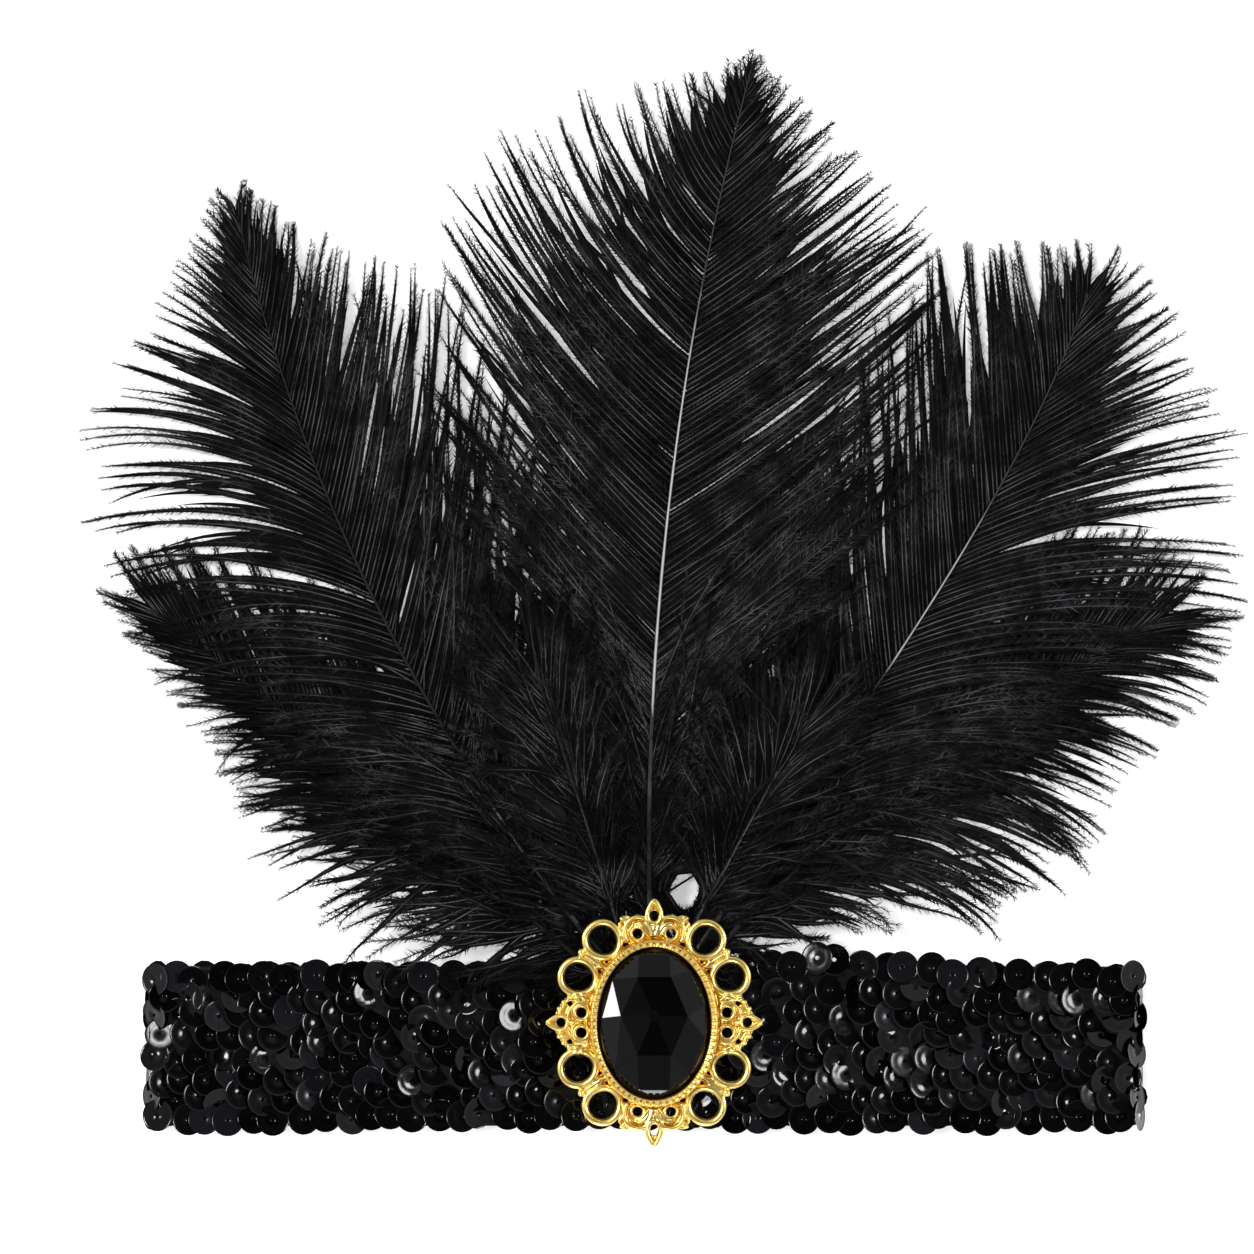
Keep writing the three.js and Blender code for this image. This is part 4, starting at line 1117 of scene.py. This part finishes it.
def makePad():
    low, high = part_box("backing_pad")
    middle, half = [[(high[k] + sign * low[k]) / 2 / mm for k in range(3)] for sign in (1, -1)]
    corners = []
    for face, section in ((-1, pad["section"]), (1, pad["section"][::-1])):
        for inset, share in section:
            z = middle[2] + face * half[2] * share
            for i in range(pad["around"]):
                a = i / pad["around"] * 2 * math.pi
                x = middle[0] + math.cos(a) * (half[0] - inset)
                corners.append((x, middle[1] + math.sin(a) * (half[1] - inset), z))
    piece = makePiece("felt_pad", np.array(corners), ringFaces(2 * len(pad["section"]), pad["around"]),
                      [blackFelt], isSmooth=True)
    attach(piece, "root")
    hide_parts("backing_pad")
    print("pad done")


makePad()


# White paper sweep, which glows a little so that it stays white; half its width is in metres
floorSweep = {"half": 4, "glow": 0.5}


def makeFloor():
    material, tree = startMaterial("white sweep")
    place = addNode(tree, "ShaderNodeTexCoord").outputs["Object"]
    soft = addNode(tree, "ShaderNodeTexNoise", {"Scale": 2.0}, {"Vector": place})
    colour = fadeColours(tree, soft.outputs["Fac"], [(0, "#f6f6f6"), (1, "#f8f8f8")])
    finishMaterial(tree, {
        "Roughness": 0.9, "Specular IOR Level": 0.1, "Emission Color": linear("#ffffff"),
        "Emission Strength": floorSweep["glow"]}, {"Base Color": colour})
    mesh = bpy.data.meshes.new("white_sweep")
    half = floorSweep["half"]
    corners = [(-half, -half, 0), (half, -half, 0), (half, half, 0), (-half, half, 0)]
    mesh.from_pydata(corners, [], [(0, 1, 2, 3)])
    mesh.materials.append(material)
    floor = addObject("white_sweep", mesh)


# The camera looks straight down; the photo's middle is at x -4.5 mm, y 105 mm
camera = {"x": -4.5, "y": 105.0, "height": 1208.0, "frame": 313.5, "sensor": 36.0, "level": 8.0}


def makeCamera():
    data = bpy.data.cameras.new("camera")
    data.sensor_width = camera["sensor"]
    data.lens = camera["sensor"] * (camera["height"] - camera["level"]) / camera["frame"]
    data.clip_end = 20
    made = addObject("camera", data)
    made.location = (camera["x"] * mm, camera["y"] * mm, camera["height"] * mm)
    bpy.context.scene.camera = made


# Soft studio lights: direction they come from, in degrees, width of the source and its strength
lights = [
    {"name": "left_key", "around": 155, "up": 65, "wide": 12, "strength": 1.5},
    {"name": "right_fill", "around": 8, "up": 43, "wide": 12, "strength": 1.0},
    {"name": "low_fill", "around": 262, "up": 36, "wide": 16, "strength": 0.8},
    {"name": "left_glint", "around": 170, "up": 32, "wide": 9, "strength": 0.65},
]

# Light from all round the room and a dark ceiling, where the photographer stands over the object
room = {
    "walls": "#f4f4f4", "wallsTop": 0.45, "ceilingFrom": 0.86, "dark": "#2c2c2e", "pale": "#a2a2a8",
    "patches": 1.7, "strength": 0.95,
}


def makeLights():
    for light in lights:
        data = bpy.data.lights.new(light["name"], "SUN")
        data.energy = light["strength"]
        data.angle = math.radians(light["wide"])
        around, up = math.radians(light["around"]), math.radians(light["up"])
        toLight = Vector((math.cos(around) * math.cos(up), math.sin(around) * math.cos(up), math.sin(up)))
        made = addObject(light["name"], data)
        made.rotation_euler = toLight.to_track_quat("Z", "Y").to_euler()
    world = bpy.data.worlds.new("studio")
    world.use_nodes = True
    tree = world.node_tree
    tree.nodes.clear()
    direction = addNode(tree, "ShaderNodeTexCoord").outputs["Generated"]
    height = addNode(tree, "ShaderNodeSeparateXYZ", links={"Vector": direction}).outputs["Z"]
    patch = addNode(tree, "ShaderNodeTexNoise",
                    {"Scale": room["patches"], "Detail": 1.0}, {"Vector": direction})
    ceiling = fadeColours(tree, patch.outputs["Fac"], [(0.42, room["dark"]), (0.62, room["pale"])])
    upwards = addNode(tree, "ShaderNodeMapRange", {
        "From Min": room["wallsTop"], "From Max": room["ceilingFrom"]}, {"Value": height})
    glow = addNode(tree, "ShaderNodeMix", {"data_type": "RGBA", 6: linear(room["walls"])},
                   {0: upwards.outputs["Result"], 7: ceiling})
    background = addNode(tree, "ShaderNodeBackground",
                         {"Strength": room["strength"]}, {"Color": glow.outputs[2]})
    addNode(tree, "ShaderNodeOutputWorld", links={"Surface": background.outputs["Background"]})
    bpy.context.scene.world = world


makeFloor()
makeCamera()
makeLights()
bpy.context.scene.view_settings.view_transform = "Standard"
bpy.context.scene.view_settings.look = "None"
print("stage ready")
